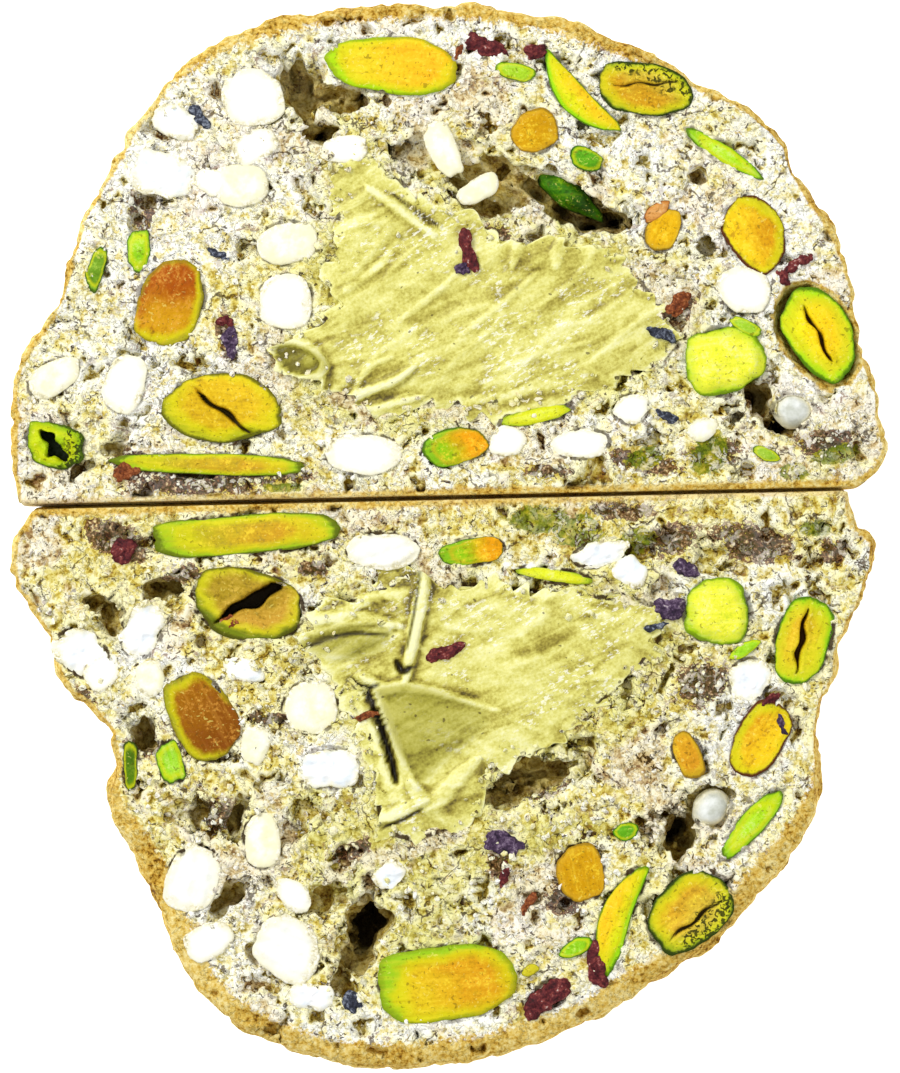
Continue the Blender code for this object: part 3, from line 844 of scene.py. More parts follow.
def bakeDough(side):
    node = side + "_dough"
    piece = copyNode(node, side + "_baked_half")
    skin = skinOf(piece)
    places = pointsOf(piece)
    tree = BVHTree.FromPolygons(
        [Vector(p) for p in places], [tuple(piece.data.polygons[i].vertices) for i in sorted(skin)]
    )
    closeCutFace(piece, skin)
    carve(piece, side)
    remesh = piece.modifiers.new("crumb", "REMESH")
    remesh.mode = "VOXEL"
    remesh.voxel_size = dough["voxel"]
    applyModifiers(piece)

    places = pointsOf(piece)
    away = skinDistance(tree, places)
    base, baseNormal = baseOf(piece, side)
    fromBase = np.abs((places - base) @ baseNormal)
    onSkin = ease((0.75 * mm - away) / (0.5 * mm))
    cutWeight = 1 - onSkin
    groupOf(piece, "skin", onSkin * ease((fromBase - 0.4 * mm) / (1.5 * mm)))
    groupOf(piece, "cut", cutWeight)
    groupOf(piece, "outside", onSkin)
    loose = np.array([noise.noise(Vector(place) / (5 * mm)) for place in places])
    calm = 1 - 0.7 * patchOf(flours, side, places)
    groupOf(piece, "crumbly", cutWeight * (0.12 + 0.88 * ease(0.45 + 1.6 * loose)) * calm)
    groupOf(piece, "border", ease((1.3 * mm - away) / (0.7 * mm)))
    for part, rounds in (("border", 8), ("skin", 40)):
        smooth = piece.modifiers.new(part, "SMOOTH")
        smooth.factor = 0.6
        smooth.iterations = rounds
        smooth.vertex_group = part
    for name, kind, size, settings, height, still, part in doughGrains:
        swell(piece, grain(side + name, kind, size, **settings), height, still, part)
    applyModifiers(piece)
    bedDown(piece, side, cutWeight)

    places = pointsOf(piece)
    below = ease((cutPlane - 1.5 * mm - places[:, 2]) / (2 * mm))
    close = dough["closeSeam"] * (1 - below) + dough["closeBelow"] * below
    places += baseNormal * (close * ease(1 - fromBase / (1.5 * mm)))[:, None]
    band = bandOf(side, places)
    away = skinDistance(tree, places)
    rounding = np.clip(1 - away / (band * 1.1), 0, 1) ** 2
    places[:, 2] -= 0.45 * band * rounding * ease((places[:, 2] - cutPlane + 4 * mm) / (2 * mm))
    places[:, 2] = np.clip(places[:, 2], 0.0, cutPlane + dough["proud"])
    movePoints(piece, places)
    triangles = len(piece.data.polygons) * 2
    if triangles > dough["budget"]:
        thin = piece.modifiers.new("thin", "DECIMATE")
        thin.ratio = max(0.1, dough["budget"] / triangles)
        thin.vertex_group = "outside"
        thin.vertex_group_factor = 1.5
        applyModifiers(piece)
        print(side, "dough thinned from", triangles, "triangles to", len(piece.data.polygons))

    places = pointsOf(piece)
    # relief: how far each place stands out from its blurred surroundings, painted by the finish as light on
    # crests and shade in pits
    calm = blurred(places, edgesOf(piece), 10)
    relief = ((places - calm) * normalsOf(piece)).sum(1) / dough["reliefUnit"]
    away = skinDistance(tree, places)
    fromBase = np.abs((places - base) @ baseNormal)
    under = ease((cutPlane - 0.5 * mm - places[:, 2]) / (0.5 * mm))
    oily = patchOf(oils, side, places)
    creamed = np.clip(-insideBy(places[:, :2], edgeOf(side + "_cream")) / mm, -2, 30)
    marks = {
        "relief": np.clip(relief, -1.5, 1.5),
        "fromSkin": away / mm * (1 - weightsOf(piece, "outside")),
        # seam: where the base just below the cut face is painted in shade
        "seam": ease(1.5 - fromBase / (0.45 * mm)) * under,
        "band": bandOf(side, places) / mm,
        "stain": patchOf(stains, side, places),
        "green": patchOf(greens, side, places),
        "beside": besideOf(side, places),
        "floury": dough["floury"][side] + 0.7 * patchOf(flours, side, places),
        # sunk: depth below the cut plane, which the finish paints as shade in the hollows
        "sunk": np.clip((cutPlane - calm[:, 2]) / mm, 0, 20) * ease(away / (1.5 * mm)),
        "creamed": creamed * (1 - oily) + 1.5 * oily,
    }
    for name, values in marks.items():
        paintPoints(piece, name, values)
    piece.vertex_groups.clear()
    piece.data.shade_smooth()
    setPiece(piece, finishes["dough"], node)
    return piece


def layOf(node):
    # where a CAD piece lies: its middle, its length, width and depth, its turn and how far its middle bows
    edge = edgeOf(node)
    middle = edge.mean(0)
    spread = edge - middle
    values, axes = np.linalg.eigh(spread.T @ spread)
    axis = axes[:, 1]
    if axis[0] < -0.05 or (abs(axis[0]) <= 0.05 and axis[1] < 0):
        axis = -axis
    side = np.array([-axis[1], axis[0]])
    u, v = spread @ axis, spread @ side
    ends = np.abs(u) > 0.8 * np.abs(u).max()
    waist = np.abs(u) < 0.3 * np.abs(u).max()
    bow = v[waist].mean() - v[ends].mean()
    low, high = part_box(node)
    width = v[waist].max() - v[waist].min()
    return {
        "middle": middle, "length": u.max() - u.min(), "width": width,
        "depth": high.z - low.z, "turn": math.atan2(axis[1], axis[0]), "bow": bow,
    }


def layAt(side, across, reach, length, width, depth, turn):
    return {
        "middle": spot(side, across, reach), "length": length * mm, "width": width * mm,
        "depth": depth * mm, "turn": math.radians(turn), "bow": 0.0,
    }


def cutPiece(name, lay, look, seed):
    rings = 56 if "slit" in look else look.get("rings", 36)
    deselectAll()
    bpy.ops.mesh.primitive_uv_sphere_add(segments=look.get("sides", 80), ring_count=rings, radius=1)
    piece = bpy.context.active_object
    piece.name = piece.data.name = name
    ball = pointsOf(piece)
    level = np.clip(ball[:, 2], -1, 1)
    angle = np.arctan2(ball[:, 1], ball[:, 0])
    # the upper half is spread evenly over the cut face
    radius = np.where(level >= 0, 1 - np.arcsin(level) / (math.pi / 2), np.sqrt(1 - level**2))
    power = look.get("square", 2.2)
    full = (np.abs(np.cos(angle))**power + np.abs(np.sin(angle))**power) ** (-1 / power)
    wave = look.get("rough", 0.05)
    waves = (2, 3, 4, 5, 7, 11, 17, 23)  # how many go round the edge
    ragged = sum(2 * wave / k * np.sin(k * angle + seed * 1.7 * k + k * k) for k in waves)
    full *= 1 + ragged
    u = radius * full * np.cos(angle)
    v = radius * full * np.sin(angle)
    taper = look.get("taper", 0.0)  # above zero narrows the far end
    v *= 1 - taper * (u * 0.5 + 0.5 * np.abs(u))
    x = u * lay["length"] / 2
    y = v * lay["width"] / 2 + lay["bow"] * (1 - u**2) - lay["bow"] / 2
    dome = look.get("dome", 0.22) * mm
    lift = look.get("lift", 0.12) * mm
    z = np.where(level >= 0, dome * (1 - radius**3), lay["depth"] * level) + lift
    slit = np.zeros(len(x))
    # a slit is cut down into the flesh, and the finish paints it dark as shade
    if "slit" in look:
        cleft = look["slit"]
        turn = math.radians(cleft["turn"])
        along = u * math.cos(turn) + v * math.sin(turn) * lay["width"] / lay["length"] - cleft.get("at", 0)
        aside = -x * math.sin(turn) + y * math.cos(turn) - cleft.get("aside", 0) * mm
        aside += cleft.get("curve", 0) * mm * along**2 + 0.16 * mm * np.sin(9 * along + seed)
        half = cleft["width"] * mm / 2 * np.clip(1 - (along / cleft["reach"])**2, 0, 1) ** 0.8
        half *= 1 + cleft.get("wedge", 0) * along
        half *= 1 + 0.25 * np.sin(2.2 * along + seed) + 0.2 * np.sin(13 * along)
        slit = ease((half - np.abs(aside)) / (0.32 * mm) + 0.5) * (half > 0.02 * mm) * (level >= 0)
        lip = np.exp(-((np.abs(aside) - half - 0.3 * mm) / (0.3 * mm))**2) * (half > 0.02 * mm)
        z += np.where(level >= 0, 0.16 * mm * lip - cleft["depth"] * mm * slit, 0)
    if "groove" in look:
        lines = look["groove"]
        turn = math.radians(lines["turn"])
        aside = -x * math.sin(turn) + y * math.cos(turn)
        ripple = np.sin(aside / (lines["pitch"] * mm) * 2 * math.pi + 2 * np.sin(x / (2.2 * mm)))
        z += np.where(level >= 0, lines["deep"] * mm * ripple * ease((1 - radius) * 4), 0)
    cos, sin = math.cos(lay["turn"]), math.sin(lay["turn"])
    places = np.stack([
        lay["middle"][0] + x * cos - y * sin, lay["middle"][1] + x * sin + y * cos, cutPlane + z
    ], 1)
    movePoints(piece, places)
    swell(
        piece, grain(name + "Waves", "CLOUDS", look.get("waveSize", 2.2) * mm, noise_depth=2),
        look.get("waves", 0.25) * mm,
    )
    swell(
        piece, grain(name + "Fine", "CLOUDS", look.get("fineSize", 0.6) * mm, noise_depth=2),
        look.get("fine", 0.10) * mm,
    )
    applyModifiers(piece)
    paintPoints(piece, "edge", np.where(level >= 0, radius, 1.1))
    paintPoints(piece, "along", np.clip(u, -1, 1))
    paintPoints(piece, "across", np.clip(v, -1, 1))
    paintPoints(piece, "slit", slit)
    piece.data.shade_smooth()
    return piece


# How each kernel looks, by the end of its node's name.
nutLooks = {
    "oval_slab": {
        "rimTo": (-0.8, -0.5), "flesh": "ecd01e", "far": "fcbc1a", "lean": (1.0, 0.2), "rim": "a8d80c",
        "rimWidth": 0.19, "square": 2.7, "outline": "74820e", "waves": 0.22, "skin": 0.5,
    },
    "crescent": {
        "rimTo": (-0.2, -1), "flesh": "d4e40c", "far": "fcc81a", "lean": (0.35, 1.0), "rim": "98dc0a",
        "rimWidth": 0.24, "square": 1.9, "outline": "4d7a06", "dome": 0.3,
    },
    "split_kernel": {
        "flesh": "cf9814", "far": "c8b434", "lean": (0.5, 1.0), "rim": "8fa814", "rimWidth": 0.2,
        "outline": "2f3f06", "slit": {"turn": 14, "aside": 0.5, "width": 0.3, "reach": 0.8, "depth": 0.4},
        "dim": "7a5c10", "skin": 1.0, "speckle": 1.0,
    },
    "small_disc": {
        "flesh": "d29c02", "far": "cc9600", "rim": "d0a204", "rimWidth": 0.12, "outline": "9a761a",
        "under": "d0a020", "dome": 0.2,
    },
    "green_sliver": {
        "flesh": "c2ea2c", "far": "a8de08", "lean": (1, 0), "rim": "8cc814", "rimWidth": 0.3, "square": 1.8,
        "outline": "4f6a10", "spark": "dcf08c", "dim": "7aa81a",
    },
    "edge_kernel": {
        "rimTo": (0.1, 0.8), "flesh": "d89a0c", "far": "f6cc18", "lean": (-0.3, -1), "rim": "c8c41a",
        "rimWidth": 0.18, "outline": "5a2e12", "skin": 1.0, "dim": "9a6414",
    },
    "green_split": {
        "flesh": "f6ea14", "far": "fad014", "lean": (0.2, 1), "rim": "a8dc10", "rimWidth": 0.22,
        "outline": "3e6a06",
        "slit": {
            "turn": -5, "aside": -0.1, "width": 0.62, "reach": 0.66, "depth": 1.2, "curve": 0.3, "wedge": 0.5,
        },
        "cleft": "4a2e08", "under": "c8d41a", "skin": 0.9,
    },
    "round_kernel": {
        "flesh": "eef02c", "far": "fbf64a", "rim": "a4d20a", "rimWidth": 0.16, "outline": "6f8e12",
        "spark": "f4f6a8", "dim": "b4cc2a", "under": "cbdc34",
        "groove": {"turn": 80, "pitch": 3.2, "deep": 0.16}, "dome": 1.0, "rough": 0.07,
    },
    "amber_kernel": {
        "rimTo": (-0.4, -0.8), "flesh": "a85000", "far": "d29c0a", "lean": (-0.9, -0.6), "rim": "a8a41e",
        "rimWidth": 0.14, "outline": "6a5a14", "dim": "8a4a14", "spark": "e0a040", "skin": 0.5, "dome": 0.2,
    },
    "wide_split": {
        "rimTo": (-0.3, -0.8), "flesh": "d4ac10", "far": "e4bc1a", "lean": (0.6, 1), "rim": "b0b418",
        "rimWidth": 0.2, "outline": "4a4a0a",
        "slit": {"turn": -32, "aside": -0.3, "width": 0.6, "reach": 0.72, "depth": 1.5, "wedge": 0.9},
        "taper": 0.12, "dim": "a07a1c",
    },
    "curled_kernel": {
        "flesh": "a8d008", "far": "98c006", "rim": "86b00e", "rimWidth": 0.3, "outline": "30400a",
        "rough": 0.08,
        "slit": {"turn": -38, "aside": -0.2, "width": 1.5, "reach": 0.7, "depth": 2.0, "wedge": 0.5},
        "cleft": "16200a", "lean": (1, 0), "speckle": 1.0, "waves": 1.0, "spark": "c8dc3a", "dim": "5c7a0c",
    },
    "long_slab": {
        "flesh": "bcb01c", "far": "d09c20", "lean": (1.2, 0), "rim": "98c01a", "rimWidth": 0.24,
        "square": 3.2, "outline": "5a6410", "dim": "9a8030", "dome": 0.3,
    },
    "half_kernel": {
        "flesh": "84c008", "far": "eca008", "lean": (1.5, 0), "rim": "7fb818", "rimWidth": 0.16,
        "rimLean": -0.2, "square": 2.4, "outline": "3a5a08", "under": "c0b01c",
    },
    "thin_crescent": {
        "flesh": "e0e820", "far": "e8ec34", "rim": "b4cc28", "rimWidth": 0.25, "square": 1.9,
        "outline": "8a9a1c", "spark": "eef08a", "dim": "b0b82a",
    },
    "small_amber": {
        "flesh": "eab80c", "far": "e0a808", "rim": "c8a41e", "rimWidth": 0.14, "outline": "8a6a18",
        "under": "d2a822",
    },
    "green_chip": {
        "flesh": "b8e42c", "far": "84c40c", "lean": (-1, 0), "rim": "84bc18", "rimWidth": 0.25,
        "outline": "3e5a10", "square": 2.8, "spark": "d8f07c", "dim": "6a961a", "rough": 0.08,
    },
    "dark_sliver": {
        "flesh": "5f8a0c", "far": "3f6408", "rim": "4f6a10", "outline": "2a3a08", "spark": "7a9a20",
        "dim": "3a4a0a", "rough": 0.08,
    },
}

# What differs in the lower half.
lowerLooks = {
    "oval_slab": {
        "rimTo": (-0.6, 0.7), "flesh": "e2c418", "far": "dc9a12", "lean": (0.9, 0.5), "rim": "94c41a",
        "rimWidth": 0.22,
    },
    "wide_split": {
        "flesh": "a88c1a", "far": "cc9c34", "lean": (0.8, -0.8), "rim": "6c7c12", "rimWidth": 0.2,
        "dim": "6e5a12", "spark": "e4c050",
        "slit": {"turn": 40, "aside": 0.2, "width": 1.25, "reach": 0.74, "depth": 2.4, "wedge": 0.5},
        "cleft": "1e1606",
    },
    "amber_kernel": {
        "flesh": "9e6400", "far": "824600", "lean": (1.0, 0.2), "rim": "a2a41c", "rimLean": 0.0,
    },
    "split_kernel": {
        "flesh": "dca41c", "far": "ccbc3c", "lean": (0.4, -1.0),
        "slit": {"turn": -4, "aside": -1.0, "width": 0.36, "reach": 0.75, "depth": 0.5},
    },
    "green_split": {
        "slit": {"turn": 8, "aside": 0.2, "width": 0.5, "reach": 0.8, "depth": 1.4, "wedge": -0.5},
        "flesh": "d8d01c", "far": "e0b41e", "rim": "8ed00c",
    },
    "small_amber": {"flesh": "dfa81e", "far": "d6921c"},
    "green_chip": {"flesh": "a2dc28", "far": "84c414"},
}

chocolateLooks = {
    "plain": {
        "body": "fdfdf2", "square": 2.3, "rough": 0.045, "dome": 0.2, "waves": 0.3, "crumbs": 0.8,
        "lift": 0.1,
    },
    "ivory": {
        "body": "f4f2c8", "far": "fffff0", "square": 2.2, "rough": 0.035, "dome": 0.3, "waves": 0.35,
        "crumbs": 0.6, "lift": 0.1,
    },
    "broken": {
        "body": "eaf2f8", "far": "ffffff", "square": 2.5, "rough": 0.08, "dome": 0.2, "waves": 1.0,
        "waveSize": 1.5, "crumbs": 1.0, "lift": 0.05,
    },
    "streaked": {
        "body": "f4f6ea", "far": "ffffff", "square": 2.4, "rough": 0.05, "dome": 0.2, "waves": 0.5,
        "crumbs": 0.7, "lift": 0.1, "groove": {"turn": 25, "pitch": 1.6, "deep": 0.1},
    },
    "pearl": {
        "body": "bfc2b4", "far": "e8ebe6", "square": 2.0, "rough": 0.03, "dome": 1.6, "waves": 0.3,
        "crumbs": 0.4, "lift": -1.4,
    },
}

# The lumps that aren't plain.
chocolateKinds = {
    "upper_chocolate_03": "ivory", "upper_chocolate_04": "ivory", "upper_chocolate_07": "ivory",
    "upper_chocolate_12": "pearl", "upper_chocolate_02": "broken", "lower_chocolate_01": "streaked",
    "lower_chocolate_02": "ivory", "lower_chocolate_03": "streaked", "lower_chocolate_04": "broken",
    "lower_chocolate_05": "ivory", "lower_chocolate_06": "broken", "lower_chocolate_07": "broken",
    "lower_chocolate_08": "streaked", "lower_chocolate_09": "broken", "lower_chocolate_10": "broken",
    "lower_chocolate_11": "pearl",
}

flakeLooks = {
    "red": {"dark": "2c0a0e", "body": "5e1f24", "light": "8a4038"},
    "purple": {"dark": "1a1024", "body": "44304a", "light": "77647c"},
    "slate": {"dark": "14161f", "body": "363a48", "light": "8890a0"},
    "russet": {"dark": "3a1608", "body": "7c3c18", "light": "b06a3a"},
}

# Bits too small for the CAD: side, across, reach, length, width, depth, turn, look.
smallNuts = [
    (
        "upper", 27.5, 61.5, 8.5, 3.0, 2.6, -38,
        {
            "flesh": "3c7a0c", "far": "1e3c06", "lean": (1, 0), "rim": "2c5c06", "under": "3c7408",
            "outline": "122004", "spark": "9cc41c", "dim": "142804", "lift": -2.6, "dome": 1.4,
            "taper": 0.4, "waves": 0.7,
        },
    ),
    (
        "upper", 31, 68.5, 3.8, 2.3, 1.6, -20,
        {
            "flesh": "6cb41c", "far": "3f8c0c", "rim": "549c10", "outline": "24480a", "spark": "9cd838",
            "dim": "3a6c0a", "dome": 0.6,
        },
    ),
    (
        "upper", 15, 86, 4.2, 1.9, 1.6, -12,
        {
            "flesh": "b4dc30", "far": "9ccc1c", "rim": "8cbc14", "outline": "5a7a10", "spark": "d8f070",
            "dim": "7a9c18",
        },
    ),
    (
        "upper", 67.5, 35, 3.8, 1.4, 1.6, -28,
        {
            "flesh": "b0d83c", "far": "98c820", "rim": "84b818", "outline": "5c7a14", "spark": "d8f078",
            "dim": "789c1c",
        },
    ),
    (
        "upper", -80.5, 46.5, 4.6, 2.0, 1.8, 78,
        {
            "flesh": "86b02c", "far": "5c8a14", "rim": "6a9818", "outline": "34500c", "spark": "b4d850",
            "dim": "4a6a10", "rough": 0.1,
        },
    ),
    (
        "upper", 47, 58, 3.4, 1.5, 1.4, 35,
        {
            "flesh": "d08838", "far": "e0a860", "rim": "b87028", "outline": "6a3a10", "spark": "f0c890",
            "dim": "904c14", "under": "c88038",
        },
    ),
    (
        "upper", 72, 9.5, 3.0, 1.4, 1.2, -20,
        {
            "flesh": "a4cc34", "far": "88b020", "rim": "78a018", "outline": "4a6010", "spark": "cce468",
            "dim": "6a8818",
        },
    ),
    (
        "lower", 42, 58.5, 2.7, 1.9, 1.4, 5,
        {
            "flesh": "6cb41c", "far": "58a010", "rim": "5ca414", "outline": "2c580a", "spark": "98d43c",
            "dim": "44780c",
        },
    ),
    (
        "lower", 30.5, 78.5, 3.8, 1.7, 1.6, 30,
        {
            "flesh": "a8dc24", "far": "84c40c", "rim": "80bc0c", "outline": "3c640a", "spark": "d4f46c",
            "dim": "649414",
        },
    ),
    (
        "lower", 20, 82.5, 1.8, 1.1, 1.0, 20,
        {"flesh": "d4cc2c", "far": "c4b81c", "rim": "b0b01c", "outline": "8a8414", "under": "c8c024"},
    ),
    (
        "lower", 69.5, 27, 3.8, 1.3, 1.4, 33,
        {
            "flesh": "a8dc24", "far": "98d418", "rim": "88c410", "outline": "4c7c0c", "spark": "d0f464",
            "dim": "70a414",
        },
    ),
]
smallWhites = [
    ("upper", -44.5, 71, 4.8, 3.6, 2.4, 20, "plain"), ("upper", -1.5, 70.5, 6.8, 3.0, 2.4, -65, "ivory"),
    ("upper", 6.5, 62.5, 4.6, 2.6, 2.0, 30, "ivory"), ("upper", -24, 70.5, 5.4, 2.8, 2.4, 5, "plain"),
    ("upper", -62.5, 76, 4.8, 3.4, 2.2, -20, "broken"), ("upper", 13, 12, 4.0, 3.0, 2.0, 0, "plain"),
    ("upper", -54, 64, 3.6, 3.0, 2.0, 0, "plain"), ("upper", 57.5, 14.5, 3.4, 2.4, 1.6, 10, "ivory"),
    ("lower", -34.5, 69.5, 4.4, 2.9, 2.2, -35, "streaked"), ("lower", -68, 32, 3.8, 3.3, 2.4, 80, "ivory"),
    ("lower", -46.5, 30.5, 4.4, 2.4, 2.0, -8, "broken"), ("lower", -54.5, 77.5, 5.2, 4.0, 2.6, 20, "plain"),
    ("lower", -12.5, 66, 3.6, 2.6, 1.6, 40, "broken"), ("lower", -30.5, 87, 4.6, 3.0, 2.2, -5, "broken"),
    ("lower", -43.5, 43.5, 4.4, 3.0, 2.2, 75, "ivory"), ("lower", 43, 13.5, 3.6, 3.2, 2.0, -30, "broken"),
    ("lower", -79, 31, 4.4, 3.2, 2.0, 40, "plain"),
]
smallFlakes = [
    ("upper", 8, 91, 4.8, 2.2, 1.0, -20, "red"), ("upper", 19.5, 90, 2.4, 1.6, 0.9, 10, "red"),
    ("upper", 4, 50, 4.2, 1.7, 0.9, -75, "red"), ("upper", 3, 46.5, 1.8, 1.2, 0.8, 20, "purple"),
    ("upper", 79, 47.5, 3.4, 1.2, 0.9, 30, "red"), ("upper", 76, 45, 1.8, 1.0, 0.8, -60, "red"),
    ("upper", -57, 77, 2.8, 1.3, 0.8, -50, "slate"), ("upper", -50, 32, 1.6, 3.4, 0.8, 10, "purple"),
    ("upper", -51, 36, 1.6, 1.2, 0.8, 10, "red"), ("upper", 48.5, 33.5, 3.0, 1.4, 0.8, -25, "slate"),
    ("upper", -74, 6, 2.8, 1.7, 0.8, 20, "russet"), ("upper", 52, 39.5, 3.0, 2.0, 0.9, 40, "russet"),
    ("upper", -53, 49.5, 2.6, 0.9, 0.7, -20, "slate"), ("upper", 49.5, 17, 2.4, 1.0, 0.7, -25, "slate"),
    ("upper", 2, 90, 2.2, 0.6, 0.6, 60, "russet"), ("lower", 35.5, 81.5, 4.8, 2.2, 1.0, 97, "red"),
    ("lower", 13.5, 60.5, 4.6, 2.3, 1.0, -18, "purple"), ("lower", 0.5, 27.5, 4.0, 1.6, 0.8, 22, "red"),
    ("lower", 14, 66, 2.8, 0.9, 0.7, 75, "red"), ("lower", -49, 22, 2.2, 1.4, 0.7, 20, "russet"),
    ("lower", -18, 38.5, 3.0, 0.8, 0.6, 10, "russet"), ("lower", 56, 13, 3.0, 1.6, 0.8, -15, "purple"),
    ("lower", 49, 23, 2.6, 0.8, 0.6, 12, "slate"), ("lower", 75, 36, 2.6, 0.8, 0.7, 40, "red"),
    ("lower", 78, 40, 2.4, 0.8, 0.7, -70, "purple"), ("lower", -74, 10, 3.0, 2.4, 0.8, 60, "red"),
    ("lower", 19.5, 71, 2.6, 0.8, 0.6, 60, "russet"), ("lower", -21.5, 88, 2.4, 1.8, 0.9, -40, "slate"),
    ("lower", 52, 20, 3.4, 2.6, 0.8, 10, "purple"),
]
flakeShape = {
    "square": 2.2, "rough": 0.09, "dome": 0.3, "lift": 0.1, "waves": 0.9, "waveSize": 1.1, "fine": 0.35,
    "fineSize": 0.4, "rings": 20, "sides": 40,
}


def setPiece(piece, finish, node=None):
    piece.data.materials.append(finish)
    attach(piece, "root")
    if node:
        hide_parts(node)


def setKernels():
    for node in sorted(nodes):
        if "_pistachio_" not in node:
            continue
        side, kind = node.split("_pistachio_")
        look = dict(nutLooks[kind])
        if side == "lower":
            look.update(lowerLooks.get(kind, {}))
        lay = layOf(node)
        look["turn"] = lay["turn"]
        piece = cutPiece(node + "_cut", lay, look, len(kind) + 3 * (side == "lower"))
        setPiece(piece, nutFinish(node + "Flesh", look), node)
    for number, (side, *lay, look) in enumerate(smallNuts, 1):
        look = {"rings": 24, "sides": 48, "rough": 0.06, "lift": 0.2, "waves": 0.35, **look}
        piece = cutPiece(f"{side}_nut_bit_{number:02d}", layAt(side, *lay), look, number)
        setPiece(piece, nutFinish(f"nutBit{number:02d}", look))


def setChocolate():
    paints = {kind: chocolateFinish(kind + "Chocolate", look) for kind, look in chocolateLooks.items()}
    for number, node in enumerate(sorted(n for n in nodes if "_chocolate_" in n)):
        kind = chocolateKinds.get(node, "plain")
        piece = cutPiece(node + "_lump", layOf(node), chocolateLooks[kind], number)
        setPiece(piece, paints[kind], node)
    for number, (side, *lay, kind) in enumerate(smallWhites, 1):
        look = {**chocolateLooks[kind], "rings": 24, "sides": 48, "rough": 0.07, "lift": 0.15}
        piece = cutPiece(f"{side}_chocolate_bit_{number:02d}", layAt(side, *lay), look, number)
        setPiece(piece, paints[kind])


def setFlakes():
    paints = {kind: flakeFinish(kind + "Skin", look) for kind, look in flakeLooks.items()}
    for node in sorted(n for n in nodes if "_skin_flake_" in n):
        piece = cutPiece(node + "_leaf", layOf(node), {**flakeShape, "dome": 0.6}, 5)
        setPiece(piece, paints["red"], node)
    for number, (side, *lay, kind) in enumerate(smallFlakes, 1):
        onCream = insideBy(spot(side, *lay[:2])[None], edgeOf(side + "_cream"))[0] > 0
        look = {**flakeShape, "lift": 0.6, "rough": 0.13} if onCream else flakeShape
        piece = cutPiece(f"{side}_flake_bit_{number:02d}", layAt(side, *lay), look, number)
        setPiece(piece, paints[kind])


# Pistachio cream, spread by the knife.
creamShape = {
    "voxel": 0.22 * mm,
    "rise": 0.35 * mm,  # how far the cream stands above the cut plane
    "spread": 1.7 * mm,  # how far its thin edge laps over the crumb
    "highest": 1.35 * mm,  # cream and loose crumbs stand no further above the cut plane
    "streakTurn": {"upper": 32, "lower": -20},  # degrees, the way the knife went
}
# Ridges and folds: a line of places on the cut face, then width and height in mm.
creamFolds = {
    "upper": [
        ([(-41, 31), (-40, 26), (-34, 23.5), (-29, 26)], 0.6, 1.0),
        ([(-41, 31), (-36, 32.5), (-30, 30), (-28, 26)], 0.4, 0.6),
        ([(-29, 27), (-29.5, 22), (-30, 17)], 0.45, 1.0),
        ([(-27, 18.5), (-21, 21.5), (-13, 23.5), (-8, 27)], 0.4, 0.8),
        ([(-24, 18), (-14, 19.5), (-6, 21)], 0.35, 0.35), ([(-22, 22), (-19, 27), (-13, 29)], 0.3, 0.3),
        ([(-6, 19.5), (10, 20.5), (26, 24)], 0.35, 0.3), ([(2, 33), (14, 41), (20, 46)], 0.3, 0.18),
        ([(10, 26), (22, 30), (32, 32)], 0.3, 0.16), ([(-12, 36), (-4, 41), (2, 46)], 0.3, 0.18),
        ([(-19, 63), (-14, 60), (-8, 56), (-3, 53)], 0.4, 0.4), ([(14, 47), (16, 52), (13, 56)], 0.5, 0.3),
        ([(24, 47), (25, 52), (30, 54)], 0.6, 0.3), ([(-24, 42), (-17, 46), (-12, 52)], 0.35, 0.16),
    ],
    "lower": [
        ([(-4.5, 7), (-4.2, 13), (-5.5, 19), (-7.5, 27), (-9, 33)], 0.62, 1.3),
        ([(-19, 31.5), (-14, 34), (-9, 33), (-5, 34.5)], 0.5, 0.7),
        ([(-38, 26.5), (-30, 23), (-20, 21), (-10, 23)], 0.6, 0.6),
        ([(-36, 22.5), (-26, 21.5), (-16, 17.5), (-8, 17)], 0.55, 0.5),
        ([(-9, 33), (2, 35), (13, 37.5)], 0.35, 0.25),
        ([(-17, 33), (-13.5, 40), (-9.5, 47), (-6, 51)], 0.5, 0.45),
        ([(-20, 31.5), (-16, 36), (-12, 41)], 0.5, 0.5),
        ([(-28, 58), (-20, 57), (-12, 56), (-4, 53)], 0.7, 0.5),
        ([(-8, 50), (-3, 55), (2, 50), (8, 46)], 0.8, 0.5), ([(-12, 23), (-20, 26), (-27, 29)], 0.6, 0.35),
        ([(13, 16), (26, 17), (38, 21)], 0.8, 0.2),
    ],
}
# Slits, in the same way, with a depth in place of the height; each is also painted dark, painted shade in the
# slit.
creamSlits = {
    "upper": [
        ([(-36, 22), (-31, 21), (-26, 20), (-20, 18)], 0.3, 0.5),
        ([(-13, 61.5), (-7, 57.5), (-2, 55)], 0.25, 0.4),
    ],
    "lower": [
        ([(-18, 33.5), (-15, 39), (-12.5, 45), (-11, 50)], 0.9, 1.8),
        ([(-22, 32), (-18, 34), (-15, 33)], 0.5, 0.8),
        ([(-5.8, 8), (-5.4, 13), (-6.6, 20), (-8.6, 27)], 0.3, 0.6),
        ([(-34, 27.5), (-24, 24), (-13, 24.5)], 0.3, 0.5), ([(-11, 29), (-9.5, 31), (-7.5, 30)], 0.8, 0.8),
        ([(-20, 58), (-12, 57.5), (-5, 54.5)], 0.3, 0.5),
    ],
}
# Smooth flaps that stand a step above the rest: outline, then height in mm.
creamFlaps = {
    "upper": [([(-42, 31), (-38, 33), (-30, 31), (-26, 27), (-30, 24), (-38, 25)], 0.25)],
    "lower": [
        ([(-17, 33), (-6, 32), (13, 37.5), (9, 42), (1, 46), (-5, 52), (-11, 46), (-14, 40)], 0.6),
        ([(-37, 27), (-30, 23.5), (-18, 21.5), (-11, 23), (-12, 27), (-22, 29.5)], 0.35),
    ],
}


